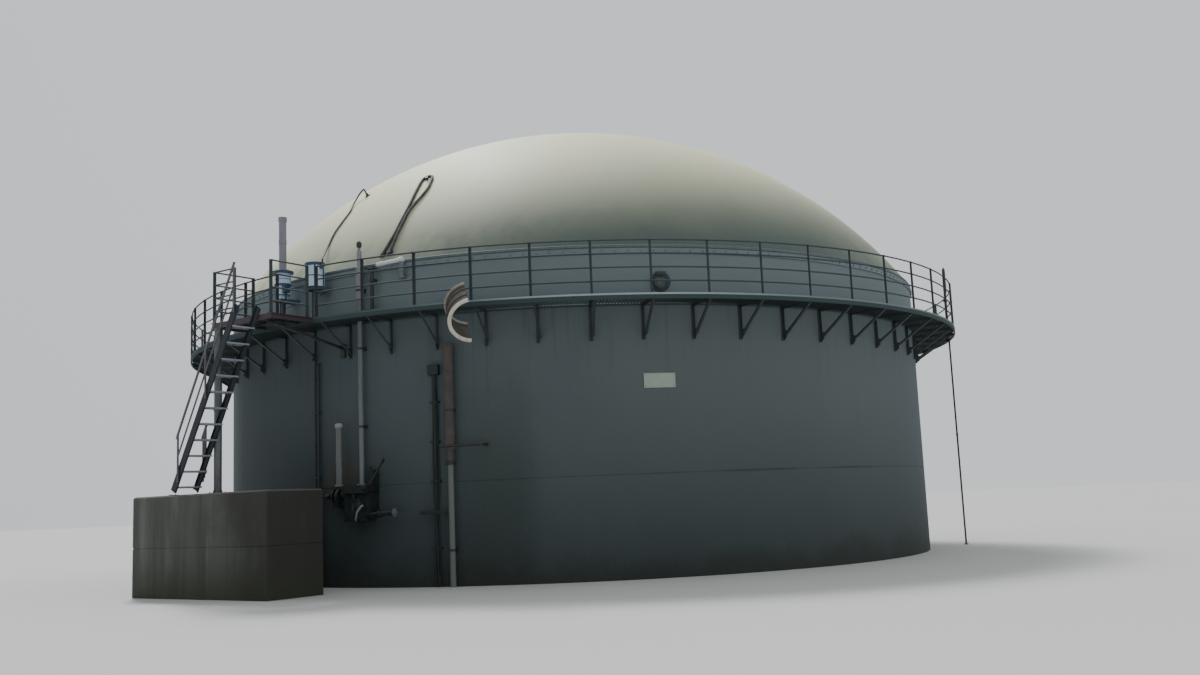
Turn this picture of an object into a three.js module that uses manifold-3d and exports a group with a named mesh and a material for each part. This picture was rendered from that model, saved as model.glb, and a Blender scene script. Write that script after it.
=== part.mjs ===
// A biogas digester: a round concrete tank under an inflated membrane dome, with a ring
// walkway on wall brackets, a steep stair, and the fittings on its wall.
// Millimetres, +Z up. The origin is on the tank's axis, at the level that the tank stands on.
// An azimuth of 0 faces -Y, and azimuths grow towards +X.
import * as THREE from "three";
import { mergeVertices } from "three/addons/utils/BufferGeometryUtils.js";
import Module from "manifold-3d";

const wasm = await Module();
wasm.setup();

// Driving dimensions
const GAP = 0.3; // between pieces that touch
const TANK_RADIUS = 9250;
const WALL_THICKNESS = 250;
const WALL_HEIGHT = 6770;
const FLOOR_THICKNESS = 250;
const DOME_RISE = 4850;
const DOME_THICKNESS = 40;
const DOME_SIDES = 54;

const BAYS = 54; // wall brackets and railing posts round the tank
const SECTORS = 6; // wall, walkway and railing are each made in this many lengths
const CLAMP_LENGTHS = 3;
const FIRST_BRACKET = 2; // azimuth of one bracket, degrees

const CLAMP_LOW = 6540;
const CLAMP_HIGH = 6800;
const CLAMP_THICKNESS = 45;

const DECK_TOP = 5580;
const DECK_THICKNESS = 40;
const DECK_RADIUS = 10300;
const FASCIA_HEIGHT = 110;
const FASCIA_THICKNESS = 40;
const BRACKET_FOOT = 4820;
const BRACKET_BAR = 75;

const RAIL_HEIGHT = 1100;
const RAIL_ROWS = 4;
const POST_SIZE = 50;
const RAIL_SIZE = 34;

const LANDING_AZIMUTH = -36;
const LANDING_LEFT = -1100;
const LANDING_RIGHT = 760;
const LANDING_REACH = 1050; // beyond the walkway's edge
const STAIR_HEAD = 350; // along the landing's outer edge
const STAIR_TREADS = 11;
const STAIR_RISE = 311;
const STAIR_GOING = 168;
const STAIR_WIDTH = 560;
const TREAD_DEPTH = 190;
const BLOCK_TOP = 2050;

const VENT_AZIMUTH = -29;
const VENT_RADIUS = TANK_RADIUS + 135;
const CASING_TOP = 2100;
const CASING_LOW = 1360;
const SPINDLE_LENGTH = 530;
const ROD_AZIMUTH = 84;

// Colours of the finishes
const paint = (color, roughness = 0.6, metalness = 0) =>
  new THREE.MeshStandardMaterial({ color, roughness, metalness });
const SLATE = paint(0x414a4e, 0.55);
const CONCRETE = paint(0x6d6c66, 0.9);
const MEMBRANE = paint(0xbfc2ad, 0.5);
const CLAMP_STEEL = paint(0x7c847f, 0.5, 0.6);
const DARK_STEEL = paint(0x23292b, 0.6, 0.3);
const GALVANISED = paint(0x8b9196, 0.5, 0.6);
const BLUE_WHITE = paint(0xa9b8c6, 0.4);
const STACK_GREY = paint(0x7d7984, 0.6);
const BEIGE = paint(0xb9b39c, 0.6);
const RUST = paint(0x5b4a3e, 0.8);
const RUBBER = paint(0x1c2022, 0.7);
const CAST_DARK = paint(0x2a2f2e, 0.8);
const WHITE_PLASTIC = paint(0xdfe3e2, 0.4);
const GREY_PLASTIC = paint(0x6f7370, 0.6);
const SIGN_GREEN = paint(0x9fb0a6, 0.5);
const GLASS_DARK = paint(0x14191c, 0.15);

const digester = new THREE.Group();

const radians = THREE.MathUtils.degToRad;
const vec = (x, y, z) => new THREE.Vector3(x, y, z);

// A point at an azimuth in degrees, a radius and a height.
function polar(azimuth, radius, height) {
  const a = radians(azimuth);
  return vec(radius * Math.sin(a), -radius * Math.cos(a), height);
}

// Geometry helpers
function solidFrom(geometry) {
  const bare = geometry.clone();
  bare.deleteAttribute("normal");
  bare.deleteAttribute("uv");
  const merged = mergeVertices(bare, 1e-3);
  return new wasm.Manifold(
    new wasm.Mesh({
      numProp: 3,
      vertProperties: new Float32Array(merged.attributes.position.array),
      triVerts: new Uint32Array(merged.index.array),
    }),
  );
}

function geometryFrom(solid) {
  const mesh = solid.getMesh();
  const geometry = new THREE.BufferGeometry();
  geometry.setAttribute("position", new THREE.BufferAttribute(mesh.vertProperties, 3));
  geometry.setIndex(new THREE.BufferAttribute(mesh.triVerts, 1));
  geometry.computeVertexNormals();
  return geometry;
}

function fuse(geometries) {
  return geometryFrom(
    geometries.map(solidFrom).reduce((whole, piece) => whole.add(piece)),
  );
}

function cut(geometry, tools) {
  const solid = tools.map(solidFrom).reduce((rest, tool) => rest.subtract(tool), solidFrom(geometry));
  return geometryFrom(solid);
}

// A box by its lowest and highest corners.
function block(x0, y0, z0, x1, y1, z1) {
  return new THREE.BoxGeometry(x1 - x0, y1 - y0, z1 - z0).translate(
    (x0 + x1) / 2,
    (y0 + y1) / 2,
    (z0 + z1) / 2,
  );
}

// A straight bar or rod between two points.
function between(geometry, from, to) {
  const direction = to.clone().sub(from).normalize();
  const side = vec(0, 0, 1).cross(direction);
  if (side.length() < 1e-6) side.set(1, 0, 0);
  side.normalize();
  const top = direction.clone().cross(side);
  const turn = new THREE.Matrix4().makeBasis(side, top, direction);
  const middle = from.clone().add(to).multiplyScalar(0.5);
  return geometry.applyMatrix4(turn).translate(middle.x, middle.y, middle.z);
}

function bar(from, to, width, height = width) {
  return between(new THREE.BoxGeometry(width, height, from.distanceTo(to)), from, to);
}

function rod(from, to, radius, sides = 12, endRadius = radius) {
  const length = from.distanceTo(to);
  const cylinder = new THREE.CylinderGeometry(endRadius, radius, length, sides).rotateX(Math.PI / 2);
  return between(cylinder, from, to);
}

// A tube of round section along a smooth curve through the points.
function tube(points, radius, sides = 8, steps = 30) {
  const section = new THREE.Shape();
  section.absarc(0, 0, radius, 0, 2 * Math.PI);
  return new THREE.ExtrudeGeometry(section, {
    curveSegments: sides / 2, // a full circle takes twice as many
    steps,
    extrudePath: new THREE.CatmullRomCurve3(points),
  });
}

// A profile of radius and height pairs turned about the vertical through the origin.
function turned(profile, sides, startAngle = 0) {
  const points = profile.map(([radius, height]) => new THREE.Vector2(radius, height));
  return new THREE.LatheGeometry(points, sides, radians(startAngle)).rotateX(Math.PI / 2);
}

// A length of a ring that is square in section, in straight facets.
function ringLength(inner, outer, low, high, start, end, facets) {
  const shape = new THREE.Shape();
  for (let i = 0; i <= facets; i++) {
    const p = polar(start + ((end - start) * i) / facets, outer, 0);
    if (i) shape.lineTo(p.x, p.y);
    else shape.moveTo(p.x, p.y);
  }
  for (let i = facets; i >= 0; i--) {
    const p = polar(start + ((end - start) * i) / facets, inner, 0);
    shape.lineTo(p.x, p.y);
  }
  shape.closePath();
  return new THREE.ExtrudeGeometry(shape, { depth: high - low, bevelEnabled: false }).translate(0, 0, low);
}

function add(name, geometry, material, azimuth = 0) {
  const mesh = new THREE.Mesh(geometry, material);
  mesh.name = name;
  mesh.rotation.z = radians(azimuth);
  digester.add(mesh);
  return mesh;
}

// Sectors: each starts and ends halfway between two brackets
const PITCH = 360 / BAYS;
const BAYS_A_SECTOR = BAYS / SECTORS;
const FACETS_A_BAY = 2;
const sectorStart = (sector) => FIRST_BRACKET - PITCH / 2 + sector * BAYS_A_SECTOR * PITCH;
const bracketAzimuth = (sector, bay) => sectorStart(sector) + (bay + 0.5) * PITCH;
const gapAngle = (radius) => THREE.MathUtils.radToDeg(GAP / 2 / radius);
const WALL_FACE = TANK_RADIUS + 2 * GAP;

// Fits a piece that was made facing azimuth 0 against the wall's facets at its azimuth.
function seat(geometry, azimuth) {
  const facets = BAYS * FACETS_A_BAY;
  const radius = TANK_RADIUS + GAP;
  const profile = [[0, -100], [radius, -100], [radius, WALL_HEIGHT + 50], [0, WALL_HEIGHT + 50]];
  return cut(geometry, [turned(profile, facets, FIRST_BRACKET - azimuth)]);
}

// The same against the walkway's outer edge.
function seatOnWalkway(geometry, azimuth) {
  const facets = BAYS * FACETS_A_BAY;
  const radius = DECK_RADIUS + GAP;
  const profile = [[0, -100], [radius, -100], [radius, 9000], [0, 9000]];
  return cut(geometry, [turned(profile, facets, FIRST_BRACKET - azimuth)]);
}

// Tank
function tankWall(sector) {
  const start = sectorStart(sector) + gapAngle(TANK_RADIUS - WALL_THICKNESS);
  const end = sectorStart(sector + 1) - gapAngle(TANK_RADIUS - WALL_THICKNESS);
  const facets = BAYS_A_SECTOR * FACETS_A_BAY;
  return ringLength(TANK_RADIUS - WALL_THICKNESS, TANK_RADIUS, 0, WALL_HEIGHT, start, end, facets);
}

function tankFloor() {
  const facets = BAYS * FACETS_A_BAY;
  const radius = TANK_RADIUS - WALL_THICKNESS - 2 * GAP;
  const profile = [[0, 0], [radius, 0], [radius, FLOOR_THICKNESS], [0, FLOOR_THICKNESS]];
  return turned(profile, facets, FIRST_BRACKET);
}

// The dome is a cap of a sphere
const DOME_RIM = TANK_RADIUS - 2;
const DOME_BASE = WALL_HEIGHT + GAP;
const DOME_SPHERE = (DOME_RIM * DOME_RIM + DOME_RISE * DOME_RISE) / (2 * DOME_RISE);
const DOME_CENTRE = DOME_BASE + DOME_RISE - DOME_SPHERE;
const DOME_STEPS = 9;

function domeArc(radius, steps) {
  const half = Math.acos((DOME_BASE - DOME_CENTRE) / radius);
  const arc = [];
  for (let i = 0; i <= steps; i++) {
    const a = (half * i) / steps;
    arc.push([i ? radius * Math.sin(a) : 0, DOME_CENTRE + radius * Math.cos(a)]);
  }
  return arc;
}

function membraneDome() {
  const inside = domeArc(DOME_SPHERE - DOME_THICKNESS, DOME_STEPS - 3);
  const outside = domeArc(DOME_SPHERE, DOME_STEPS).reverse();
  return turned([...inside, ...outside], DOME_SIDES, FIRST_BRACKET);
}

// A solid that follows the dome's outside, for cutting what lies on it.
function domeCap() {
  const outside = domeArc(DOME_SPHERE + GAP, DOME_STEPS).reverse();
  return turned([[0, DOME_BASE], ...outside], DOME_SIDES, FIRST_BRACKET);
}

function domePoint(x, y, above) {
  const radius = DOME_SPHERE + above;
  return vec(x, y, DOME_CENTRE + Math.sqrt(radius * radius - x * x - y * y));
}

function clampRing(length) {
  const bays = BAYS / CLAMP_LENGTHS;
  const inner = TANK_RADIUS + 2 * GAP;
  const start = sectorStart(0) + length * bays * PITCH + gapAngle(inner);
  const end = sectorStart(0) + (length + 1) * bays * PITCH - gapAngle(inner);
  const outer = inner + CLAMP_THICKNESS;
  return ringLength(inner, outer, CLAMP_LOW, CLAMP_HIGH, start, end, bays * FACETS_A_BAY);
}

// Walkway
function bracket(azimuth) {
  const edge = -(DECK_RADIUS - FASCIA_THICKNESS / 2);
  const half = BRACKET_BAR / 2;
  const underDeck = DECK_TOP - DECK_THICKNESS + 5;
  const pieces = [
    block(-half, -WALL_FACE - BRACKET_BAR, BRACKET_FOOT, half, -WALL_FACE, underDeck),
    block(-half, edge, underDeck - BRACKET_BAR, half, -WALL_FACE, underDeck),
    bar(
      vec(0, -WALL_FACE - half, BRACKET_FOOT + 1.6 * BRACKET_BAR),
      vec(0, edge + 1.3 * BRACKET_BAR, underDeck - half),
      BRACKET_BAR * 0.8,
    ),
  ];
  return pieces.map((piece) => piece.rotateZ(radians(azimuth)));
}

function walkway(sector) {
  const inner = WALL_FACE;
  const start = sectorStart(sector) + gapAngle(inner);
  const end = sectorStart(sector + 1) - gapAngle(inner);
  const facets = BAYS_A_SECTOR * FACETS_A_BAY;
  const under = DECK_TOP - DECK_THICKNESS;
  const plate = ringLength(inner, DECK_RADIUS, under, DECK_TOP, start, end, facets);
  const skirt = DECK_RADIUS - FASCIA_THICKNESS;
  const fascia = ringLength(skirt, DECK_RADIUS, DECK_TOP - FASCIA_HEIGHT, DECK_TOP, start, end, facets);
  const pieces = [plate, fascia];
  for (let bay = 0; bay < BAYS_A_SECTOR; bay++) pieces.push(...bracket(bracketAzimuth(sector, bay)));
  const pipe = polar(VENT_AZIMUTH, VENT_RADIUS, 0);
  const hole = rod(vec(pipe.x, pipe.y, under - 50), vec(pipe.x, pipe.y, DECK_TOP + 50), 64, 12);
  return cut(fuse(pieces), [hole]);
}

// Railing: posts at the brackets, with the bay at the landing left open
const RAIL_LINE = DECK_RADIUS - POST_SIZE / 2 - 8;
const rowHeight = (row) => DECK_TOP + (RAIL_HEIGHT * row) / RAIL_ROWS - RAIL_SIZE / 2;

function postAt(place, foot, height = RAIL_HEIGHT) {
  const half = POST_SIZE / 2;
  const geometry = block(-half, -half, 0, half, half, height);
  return geometry.rotateZ(Math.atan2(place.x, -place.y)).translate(place.x, place.y, foot);
}

// Rails along a row of places; a place with a post true carries one.
function railingRun(places) {
  const pieces = places.filter((p) => p.post).map((p) => postAt(p.at, DECK_TOP + GAP));
  for (let i = 0; i + 1 < places.length; i++) {
    for (let row = 1; row <= RAIL_ROWS; row++) {
      const ends = [places[i].at, places[i + 1].at].map((p) => vec(p.x, p.y, rowHeight(row)));
      pieces.push(bar(ends[0], ends[1], RAIL_SIZE));
    }
  }
  return fuse(pieces);
}

function sectorPlaces(sector) {
  const start = sectorStart(sector) + 2 * gapAngle(RAIL_LINE);
  const end = sectorStart(sector + 1) - 2 * gapAngle(RAIL_LINE);
  const middle = RAIL_LINE * Math.cos(radians(PITCH / 2));
  const places = [{ at: polar(start, middle, 0), azimuth: start, post: false }];
  for (let bay = 0; bay < BAYS_A_SECTOR; bay++) {
    const azimuth = bracketAzimuth(sector, bay);
    places.push({ at: polar(azimuth, RAIL_LINE, 0), azimuth, post: true });
  }
  places.push({ at: polar(end, middle, 0), azimuth: end, post: false });
  return places;
}

// Landing and stair, made facing azimuth 0 and turned into place
const LANDING_EDGE = DECK_RADIUS + LANDING_REACH;
const LANDING_INNER = DECK_RADIUS + 2 * GAP;
const LANDING_LOW = DECK_TOP - FASCIA_HEIGHT;

function landingDeck() {
  const back = -DECK_RADIUS + 200;
  const edge = (x) => block(x, -LANDING_EDGE, LANDING_LOW, x + 50, back, DECK_TOP);
  const pieces = [
    block(LANDING_LEFT, -LANDING_EDGE, DECK_TOP - DECK_THICKNESS, LANDING_RIGHT, back, DECK_TOP),
    block(LANDING_LEFT, -LANDING_EDGE, LANDING_LOW, LANDING_RIGHT, -LANDING_EDGE + 50, DECK_TOP),
    edge(LANDING_LEFT),
    edge(-80),
    edge(LANDING_RIGHT - 50),
  ];
  return seatOnWalkway(fuse(pieces), LANDING_AZIMUTH);
}

const LANDING_POST_X = LANDING_LEFT + 85;
const LANDING_POST_Y = -LANDING_EDGE + 85;

function landingPost() {
  const x = LANDING_POST_X;
  const y = LANDING_POST_Y;
  return fuse([
    rod(vec(x, y, BLOCK_TOP + GAP), vec(x, y, LANDING_LOW - GAP), 80, 16),
    block(x - 150, y - 130, BLOCK_TOP + GAP, x + 150, y + 130, BLOCK_TOP + 22),
    block(x - 85, y - 85, LANDING_LOW - 20, x + 85, y + 85, LANDING_LOW - GAP),
  ]);
}

// A raking strut from the landing's outer corner down to the tank's wall
function landingStrut() {
  const x = LANDING_RIGHT - 200;
  const wall = -Math.sqrt(TANK_RADIUS * TANK_RADIUS - x * x);
  const foot = 5000;
  const strut = fuse([
    bar(vec(x, wall + 60, foot), vec(x, -LANDING_EDGE + 90, LANDING_LOW - 60), 70),
    block(x - 35, -LANDING_EDGE + 60, LANDING_LOW - 110, x + 35, -LANDING_EDGE + 200, LANDING_LOW - GAP),
    block(x - 60, wall - 45, foot - 170, x + 60, wall + 60, foot + 130),
  ]);
  return seat(strut, LANDING_AZIMUTH);
}

function landingRailing() {
  const inset = POST_SIZE / 2 + 8;
  const right = LANDING_RIGHT - inset;
  const left = LANDING_LEFT + inset;
  const outer = -LANDING_EDGE + inset;
  const reach = LANDING_INNER + POST_SIZE / 2 + 60;
  const places = (spots) => spots.map(([x, y]) => ({ at: vec(x, y, 0), post: true }));
  return [
    railingRun(places([[right, -reach], [right, outer]])),
    railingRun(places([[left, -reach + 60], [left, outer], [-420, outer]])),
  ];
}

// The stair comes down beside the landing's outer edge
const STAIR_MIDDLE = -(LANDING_EDGE + 2 * GAP + STAIR_WIDTH / 2);
const stairPoint = (step, y, up = 0) =>
  vec(STAIR_HEAD - STAIR_GOING * step, y, DECK_TOP + STAIR_RISE * (0.2 - step) + up);

function stairFlight() {
  const pieces = [];
  for (const side of [-1, 1]) {
    const y = STAIR_MIDDLE + (side * (STAIR_WIDTH - 40)) / 2;
    const high = stairPoint(-0.5, y, -40);
    const low = stairPoint(STAIR_TREADS + 1.5, y, -40);
    pieces.push(between(new THREE.BoxGeometry(40, 150, low.distanceTo(high)), low, high));
  }
  for (let step = 1; step <= STAIR_TREADS; step++) {
    const p = stairPoint(step, STAIR_MIDDLE);
    const half = TREAD_DEPTH / 2;
    const width = STAIR_WIDTH / 2 - 20;
    pieces.push(block(p.x - half, p.y - width, p.z - 35, p.x + half, p.y + width, p.z));
  }
  const far = 20000;
  const underFoot = block(-far, -far, -far, far, 0, BLOCK_TOP + GAP);
  const overHead = block(-far, -far, DECK_TOP, far, 0, far);
  return cut(fuse(pieces), [underFoot, overHead]);
}

function stairHandrail(side, from, to) {
  const y = STAIR_MIDDLE + side * (STAIR_WIDTH / 2 + 21 + GAP);
  const rise = 900;
  const pieces = [];
  const spread = (to - from) / 2;
  for (const step of [from, from + spread, to]) {
    pieces.push(rod(stairPoint(step, y, -70), stairPoint(step, y, rise), 21, 6));
  }
  pieces.push(rod(stairPoint(from - 0.2, y, rise), stairPoint(to + 0.2, y, rise), 24, 6));
  pieces.push(rod(stairPoint(from, y, rise / 2), stairPoint(to, y, rise / 2), 18, 6));
  return fuse(pieces);
}

function stairBlock() {
  return block(-2750, -LANDING_EDGE - 700, 0, 1500, -LANDING_EDGE + 650, BLOCK_TOP);
}

// Fittings on the wall and the walkway, made facing azimuth 0 and turned into place
function roundPort(azimuth) {
  const y = -TANK_RADIUS;
  const z = 6000;
  const ring = fuse([
    rod(vec(0, y + 30, z), vec(0, y - 55, z), 210, 18),
    rod(vec(0, y - 40, z), vec(0, y - 95, z), 165, 18),
  ]);
  return seat(ring, azimuth);
}

function signPlate(azimuth) {
  return seat(block(-330, -TANK_RADIUS - 14, 3810, 330, -TANK_RADIUS + 60, 4110), azimuth);
}

// Relief drums: azimuth, radius, lowest and highest level
const LEFT_DRUM = [-42.35, 235, 6290, 6930];
const DRUM_OUTLET = [242, 6880]; // the hose's way out of the right drum: sideways, and height
const RIGHT_DRUM = [-35.85, 205, 6400, 6950];
const drumLine = (radius) => -(TANK_RADIUS + CLAMP_THICKNESS + 60 + radius);

function reliefDrumLeft() {
  const [, radius, low, high] = LEFT_DRUM;
  const profile = [
    [0, low], [120, low], [120, low + 60], [150, low + 75], [150, low + 330],
    [175, low + 345], [175, high - 75], [radius, high - 55], [radius, high], [0, high],
  ];
  const y = drumLine(radius);
  const box = block(100, y - 120, low + 130, 210, y + 20, low + 310);
  return fuse([turned(profile, 16).translate(0, y, 0), box]);
}

function reliefDrumRight() {
  const [, radius, low, high] = RIGHT_DRUM;
  const profile = [
    [0, low], [radius, low], [radius, high - 70], [radius + 14, high - 60], [radius + 14, high], [0, high],
  ];
  const y = drumLine(radius);
  const [x, top] = DRUM_OUTLET;
  const outlet = block(180, y - 50, top - 80, x + 24, y + 30, top);
  return fuse([turned(profile, 16).translate(0, y, 0), outlet]);
}

function drumStand([azimuth, radius, low], width) {
  const y = drumLine(radius);
  const shelf = block(-width, y - 150, low - 40, width, -TANK_RADIUS + 60, low - GAP);
  const leg = block(-45, y - 45, DECK_TOP + GAP, 45, y + 45, low - 30);
  return seat(fuse([shelf, leg]), azimuth);
}

function reliefStack() {
  const [, radius, , low] = LEFT_DRUM;
  const foot = low + GAP;
  const profile = [
    [0, foot], [130, foot], [130, foot + 35], [82, foot + 60], [82, 8050],
    [95, 8060], [95, 8170], [0, 8170],
  ];
  return turned(profile, 12).translate(0, drumLine(radius), 0);
}

// The vent pipe runs from the valve up through the walkway
function ventPipe(azimuth) {
  const low = CASING_TOP + GAP;
  const profile = [
    [0, low], [115, low], [115, low + 55], [52, low + 60], [52, 6040], [78, 6050], [78, 6730],
    [52, 6740], [52, 7080], [30, 7085], [30, 7150], [55, 7180], [55, 7270], [0, 7300],
  ];
  const clip = (z) => block(-40, -VENT_RADIUS + 20, z, 40, -TANK_RADIUS + 60, z + 50);
  const pipe = turned(profile, 14).translate(0, -VENT_RADIUS, 0);
  return seat(fuse([pipe, clip(3300), clip(4950), clip(6200)]), azimuth);
}

function inletPost(azimuth) {
  const y = -TANK_RADIUS - 160;
  return seat(
    fuse([
      rod(vec(0, y, DECK_TOP + GAP), vec(0, y, 6640), 42, 10),
      block(-130, y - 90, DECK_TOP + GAP, 90, y + 90, DECK_TOP + 190),
      block(-100, y - 90, 6630, 100, y + 110, 6660),
      block(-30, y, 6380, 30, -TANK_RADIUS + 60, 6440),
    ]),
    azimuth,
  );
}

const INLET_TUBE_FROM = polar(-26.3, TANK_RADIUS + 115, 6730);
const INLET_TUBE_TO = polar(-22.9, TANK_RADIUS + 115, 6760);

function inletTube() {
  return rod(INLET_TUBE_FROM, INLET_TUBE_TO, 45, 12);
}

function inletSupport() {
  const along = INLET_TUBE_TO.clone().sub(INLET_TUBE_FROM).normalize();
  const end = INLET_TUBE_TO.clone().addScaledVector(along, GAP);
  const corner = end.clone().addScaledVector(along, 60);
  const low = vec(corner.x, corner.y, 6400);
  const wall = polar(-22.5, TANK_RADIUS - 60, 6430);
  return seat(
    fuse([
      rod(end, corner.clone().addScaledVector(along, 45), 62, 10),
      rod(vec(low.x, low.y, low.z - 30), corner, 52, 10),
      bar(low.clone().setZ(6430), wall, 70),
    ]),
    0,
  );
}

// Valve at the foot of the pipes: casing, lever and drain
function valveCasing(azimuth) {
  const back = -TANK_RADIUS + 80;
  const front = -TANK_RADIUS - 430;
  return seat(
    fuse([
      block(-480, front + 120, CASING_LOW + 260, -80, back, CASING_TOP),
      block(-100, front, CASING_LOW, 540, back, CASING_TOP),
      block(330, front + 60, CASING_TOP - 120, 560, back, CASING_TOP + 310),
      bar(vec(520, front + 150, CASING_TOP - 60), vec(900, front + 200, CASING_TOP + 480), 50),
      rod(vec(500, front + 170, CASING_LOW + 120), vec(1150, front + 200, CASING_LOW + 160), 52, 10),
      rod(vec(1130, front + 199, CASING_LOW + 159), vec(1180, front + 201, CASING_LOW + 162), 88, 12),
    ]),
    azimuth,
  );
}

function stubPipe() {
  const low = CASING_TOP + GAP;
  const profile = [
    [0, low], [95, low], [95, low + 40], [62, low + 45], [62, 3330], [80, 3340], [80, 3410], [0, 3430],
  ];
  return turned(profile, 14).translate(0, -TANK_RADIUS - 240, 0);
}

function handwheel() {
  const radius = 190;
  const rim = [];
  for (let i = 0; i <= 6; i++) {
    const a = (2 * Math.PI * i) / 6;
    rim.push([radius + 15 * Math.cos(a), 15 * Math.sin(a)]);
  }
  rim[6] = [...rim[0]];
  const wheel = turned(rim, 16).rotateY(Math.PI / 2);
  const spoke = (a) =>
    bar(
      vec(0, radius * Math.cos(a), radius * Math.sin(a)),
      vec(0, -radius * Math.cos(a), -radius * Math.sin(a)),
      20,
    );
  const spindle = rod(vec(-60, 0, 0), vec(SPINDLE_LENGTH, 0, 0), 26, 10);
  const whole = fuse([wheel, spoke(0.3), spoke(0.3 + Math.PI / 3), spoke(0.3 - Math.PI / 3), spindle]);
  return whole.translate(-SPINDLE_LENGTH - 480 - GAP, -TANK_RADIUS - 200, 1900);
}

function wallConduits(azimuth) {
  const y = -TANK_RADIUS - 50;
  const pipe = (x) => rod(vec(x, y, 0), vec(x, y, 4800), 24, 6);
  const clip = (z) => block(-100, y - 12, z, 100, -TANK_RADIUS + 60, z + 40);
  return seat(fuse([pipe(-52), pipe(52), clip(900), clip(2300), clip(3700)]), azimuth);
}

function cableTrunk(azimuth) {
  const front = -TANK_RADIUS - 110;
  return seat(
    fuse([
      block(-60, front, 0, 60, -TANK_RADIUS + 60, 4300),
      block(-110, front, 4280, 110, -TANK_RADIUS + 60, 4490),
      block(-330, front - 40, 1450, 220, front + 40, 1520),
      block(-330, front - 40, 1450, -290, -TANK_RADIUS + 90, 1520),
    ]),
    azimuth,
  );
}

function wallRiser(azimuth) {
  const y = -TANK_RADIUS - 125;
  const profile = [
    [0, 0], [58, 0], [58, 2430], [100, 2435], [100, 2520], [70, 2525], [70, 2700], [105, 2740],
    [105, 4890], [0, 4890],
  ];
  const clip = (z) => block(-35, y, z, 35, -TANK_RADIUS + 60, z + 50);
  return seat(
    fuse([
      turned(profile, 14).translate(0, y, 0),
      clip(700),
      clip(3500),
      rod(vec(-185, y - 20, 2800), vec(765, y - 20, 2800), 22, 8),
      block(725, y - 35, 2775, 765, -TANK_RADIUS + 120, 2825),
    ]),
    azimuth,
  );
}

// A curved sheet between two rims, open at the right, hung on the walkway's edge
function hoseSaddle() {
  const rear = polar(-11.03, DECK_RADIUS + 280, 5466);
  const front = polar(-10.02, DECK_RADIUS + 700, 5076);
  const axis = front.clone().sub(rear).normalize();
  const length = rear.distanceTo(front);
  const left = vec(-1, 0, 0).addScaledVector(axis, axis.x).normalize();
  const up = left.clone().cross(axis).negate();
  const radius = 465;
  const at = (a, r, z) =>
    rear.clone().addScaledVector(left, r * Math.cos(a)).addScaledVector(up, r * Math.sin(a))
      .addScaledVector(axis, z);
  const from = radians(-80);
  const to = radians(82);
  const steps = 14;
  const angle = (i) => from + ((to - from) * i) / steps;
  const shape = new THREE.Shape();
  for (let i = 0; i <= steps; i++) {
    const a = angle(i);
    if (i) shape.lineTo(radius * Math.cos(a), radius * Math.sin(a));
    else shape.moveTo(radius * Math.cos(a), radius * Math.sin(a));
  }
  for (let i = steps; i >= 0; i--) {
    const a = angle(i);
    shape.lineTo((radius - 14) * Math.cos(a), (radius - 14) * Math.sin(a));
  }
  shape.closePath();
  const sheet = new THREE.ExtrudeGeometry(shape, { depth: length, bevelEnabled: false });
  const third = left.clone().cross(up);
  const basis = new THREE.Matrix4().makeBasis(left, up, third);
  sheet.applyMatrix4(basis);
  if (third.dot(axis) < 0) sheet.translate(axis.x * length, axis.y * length, axis.z * length);
  sheet.translate(rear.x, rear.y, rear.z);
  const rim = (z) => {
    const points = [];
    for (let i = 0; i <= steps; i++) points.push(at(angle(i), radius - 7, z));
    return tube(points, 38, 6, 14);
  };
  const fascia = polar(-13.9, DECK_RADIUS - 60, DECK_TOP - 55);
  const lug = bar(fascia, at(radians(10), radius - 7, 40), 70, 50);
  return seatOnWalkway(fuse([sheet, rim(0), rim(length), lug]), 0);
}

function lightningRod() {
  const profile = [
    [0, 0], [60, 0], [60, 20], [24, 25], [24, 6850], [42, 6900], [42, 7540], [0, 7600],
  ];
  const clip = block(-20, 0, DECK_TOP - 80, 20, 90, DECK_TOP - 30);
  const rodAndClip = fuse([turned(profile, 10), clip]).translate(0, -DECK_RADIUS - 62, 0);
  return seatOnWalkway(rodAndClip, ROD_AZIMUTH);
}

// Strap and hose on the dome, and what they are fixed to
const STRAP_LEFT = [
  [-4060, -8175], [-3945, -7989], [-3852, -7800], [-3775, -7587], [-3692, -7337], [-3620, -7087],
  [-3546, -6750], [-3485, -6389], [-3435, -6130],
];
const STRAP_RIGHT = [
  [-3190, -6240], [-3205, -6480], [-3235, -6720], [-3333, -6970], [-3470, -7193], [-3582, -7399],
  [-3680, -7660], [-3782, -7927], [-3895, -8240],
];
const STRAP_RADIUS = 34;
const STRAP_HOOK = [-3312, -6150];
const HOOK_PROFILE = [[0, -30], [58, -30], [58, 75], [0, 75]];
const HOSE_LUG = [-4915, -4997];
const LUG_PROFILE = [[0, -30], [75, -30], [75, 14], [38, 18], [38, 70], [0, 70]];

function domeNormal([x, y]) {
  return domePoint(x, y, 0).sub(vec(0, 0, DOME_CENTRE)).normalize();
}

// A turned fitting that stands square on the dome
function domeFitting(place, profile) {
  const foot = domePoint(...place, 0);
  const turn = new THREE.Quaternion().setFromUnitVectors(vec(0, 0, 1), domeNormal(place));
  const body = turned(profile, 12).applyQuaternion(turn).translate(foot.x, foot.y, foot.z);
  return cut(body, [domeCap()]);
}

function domeStrap() {
  const lie = STRAP_RADIUS - 8;
  const strand = (line) => line.map(([x, y]) => domePoint(x, y, lie));
  const top = domePoint(-3320, -6030, lie);
  return cut(tube([...strand(STRAP_LEFT), top, ...strand(STRAP_RIGHT)], STRAP_RADIUS, 6, 48), [domeCap()]);
}

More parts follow.
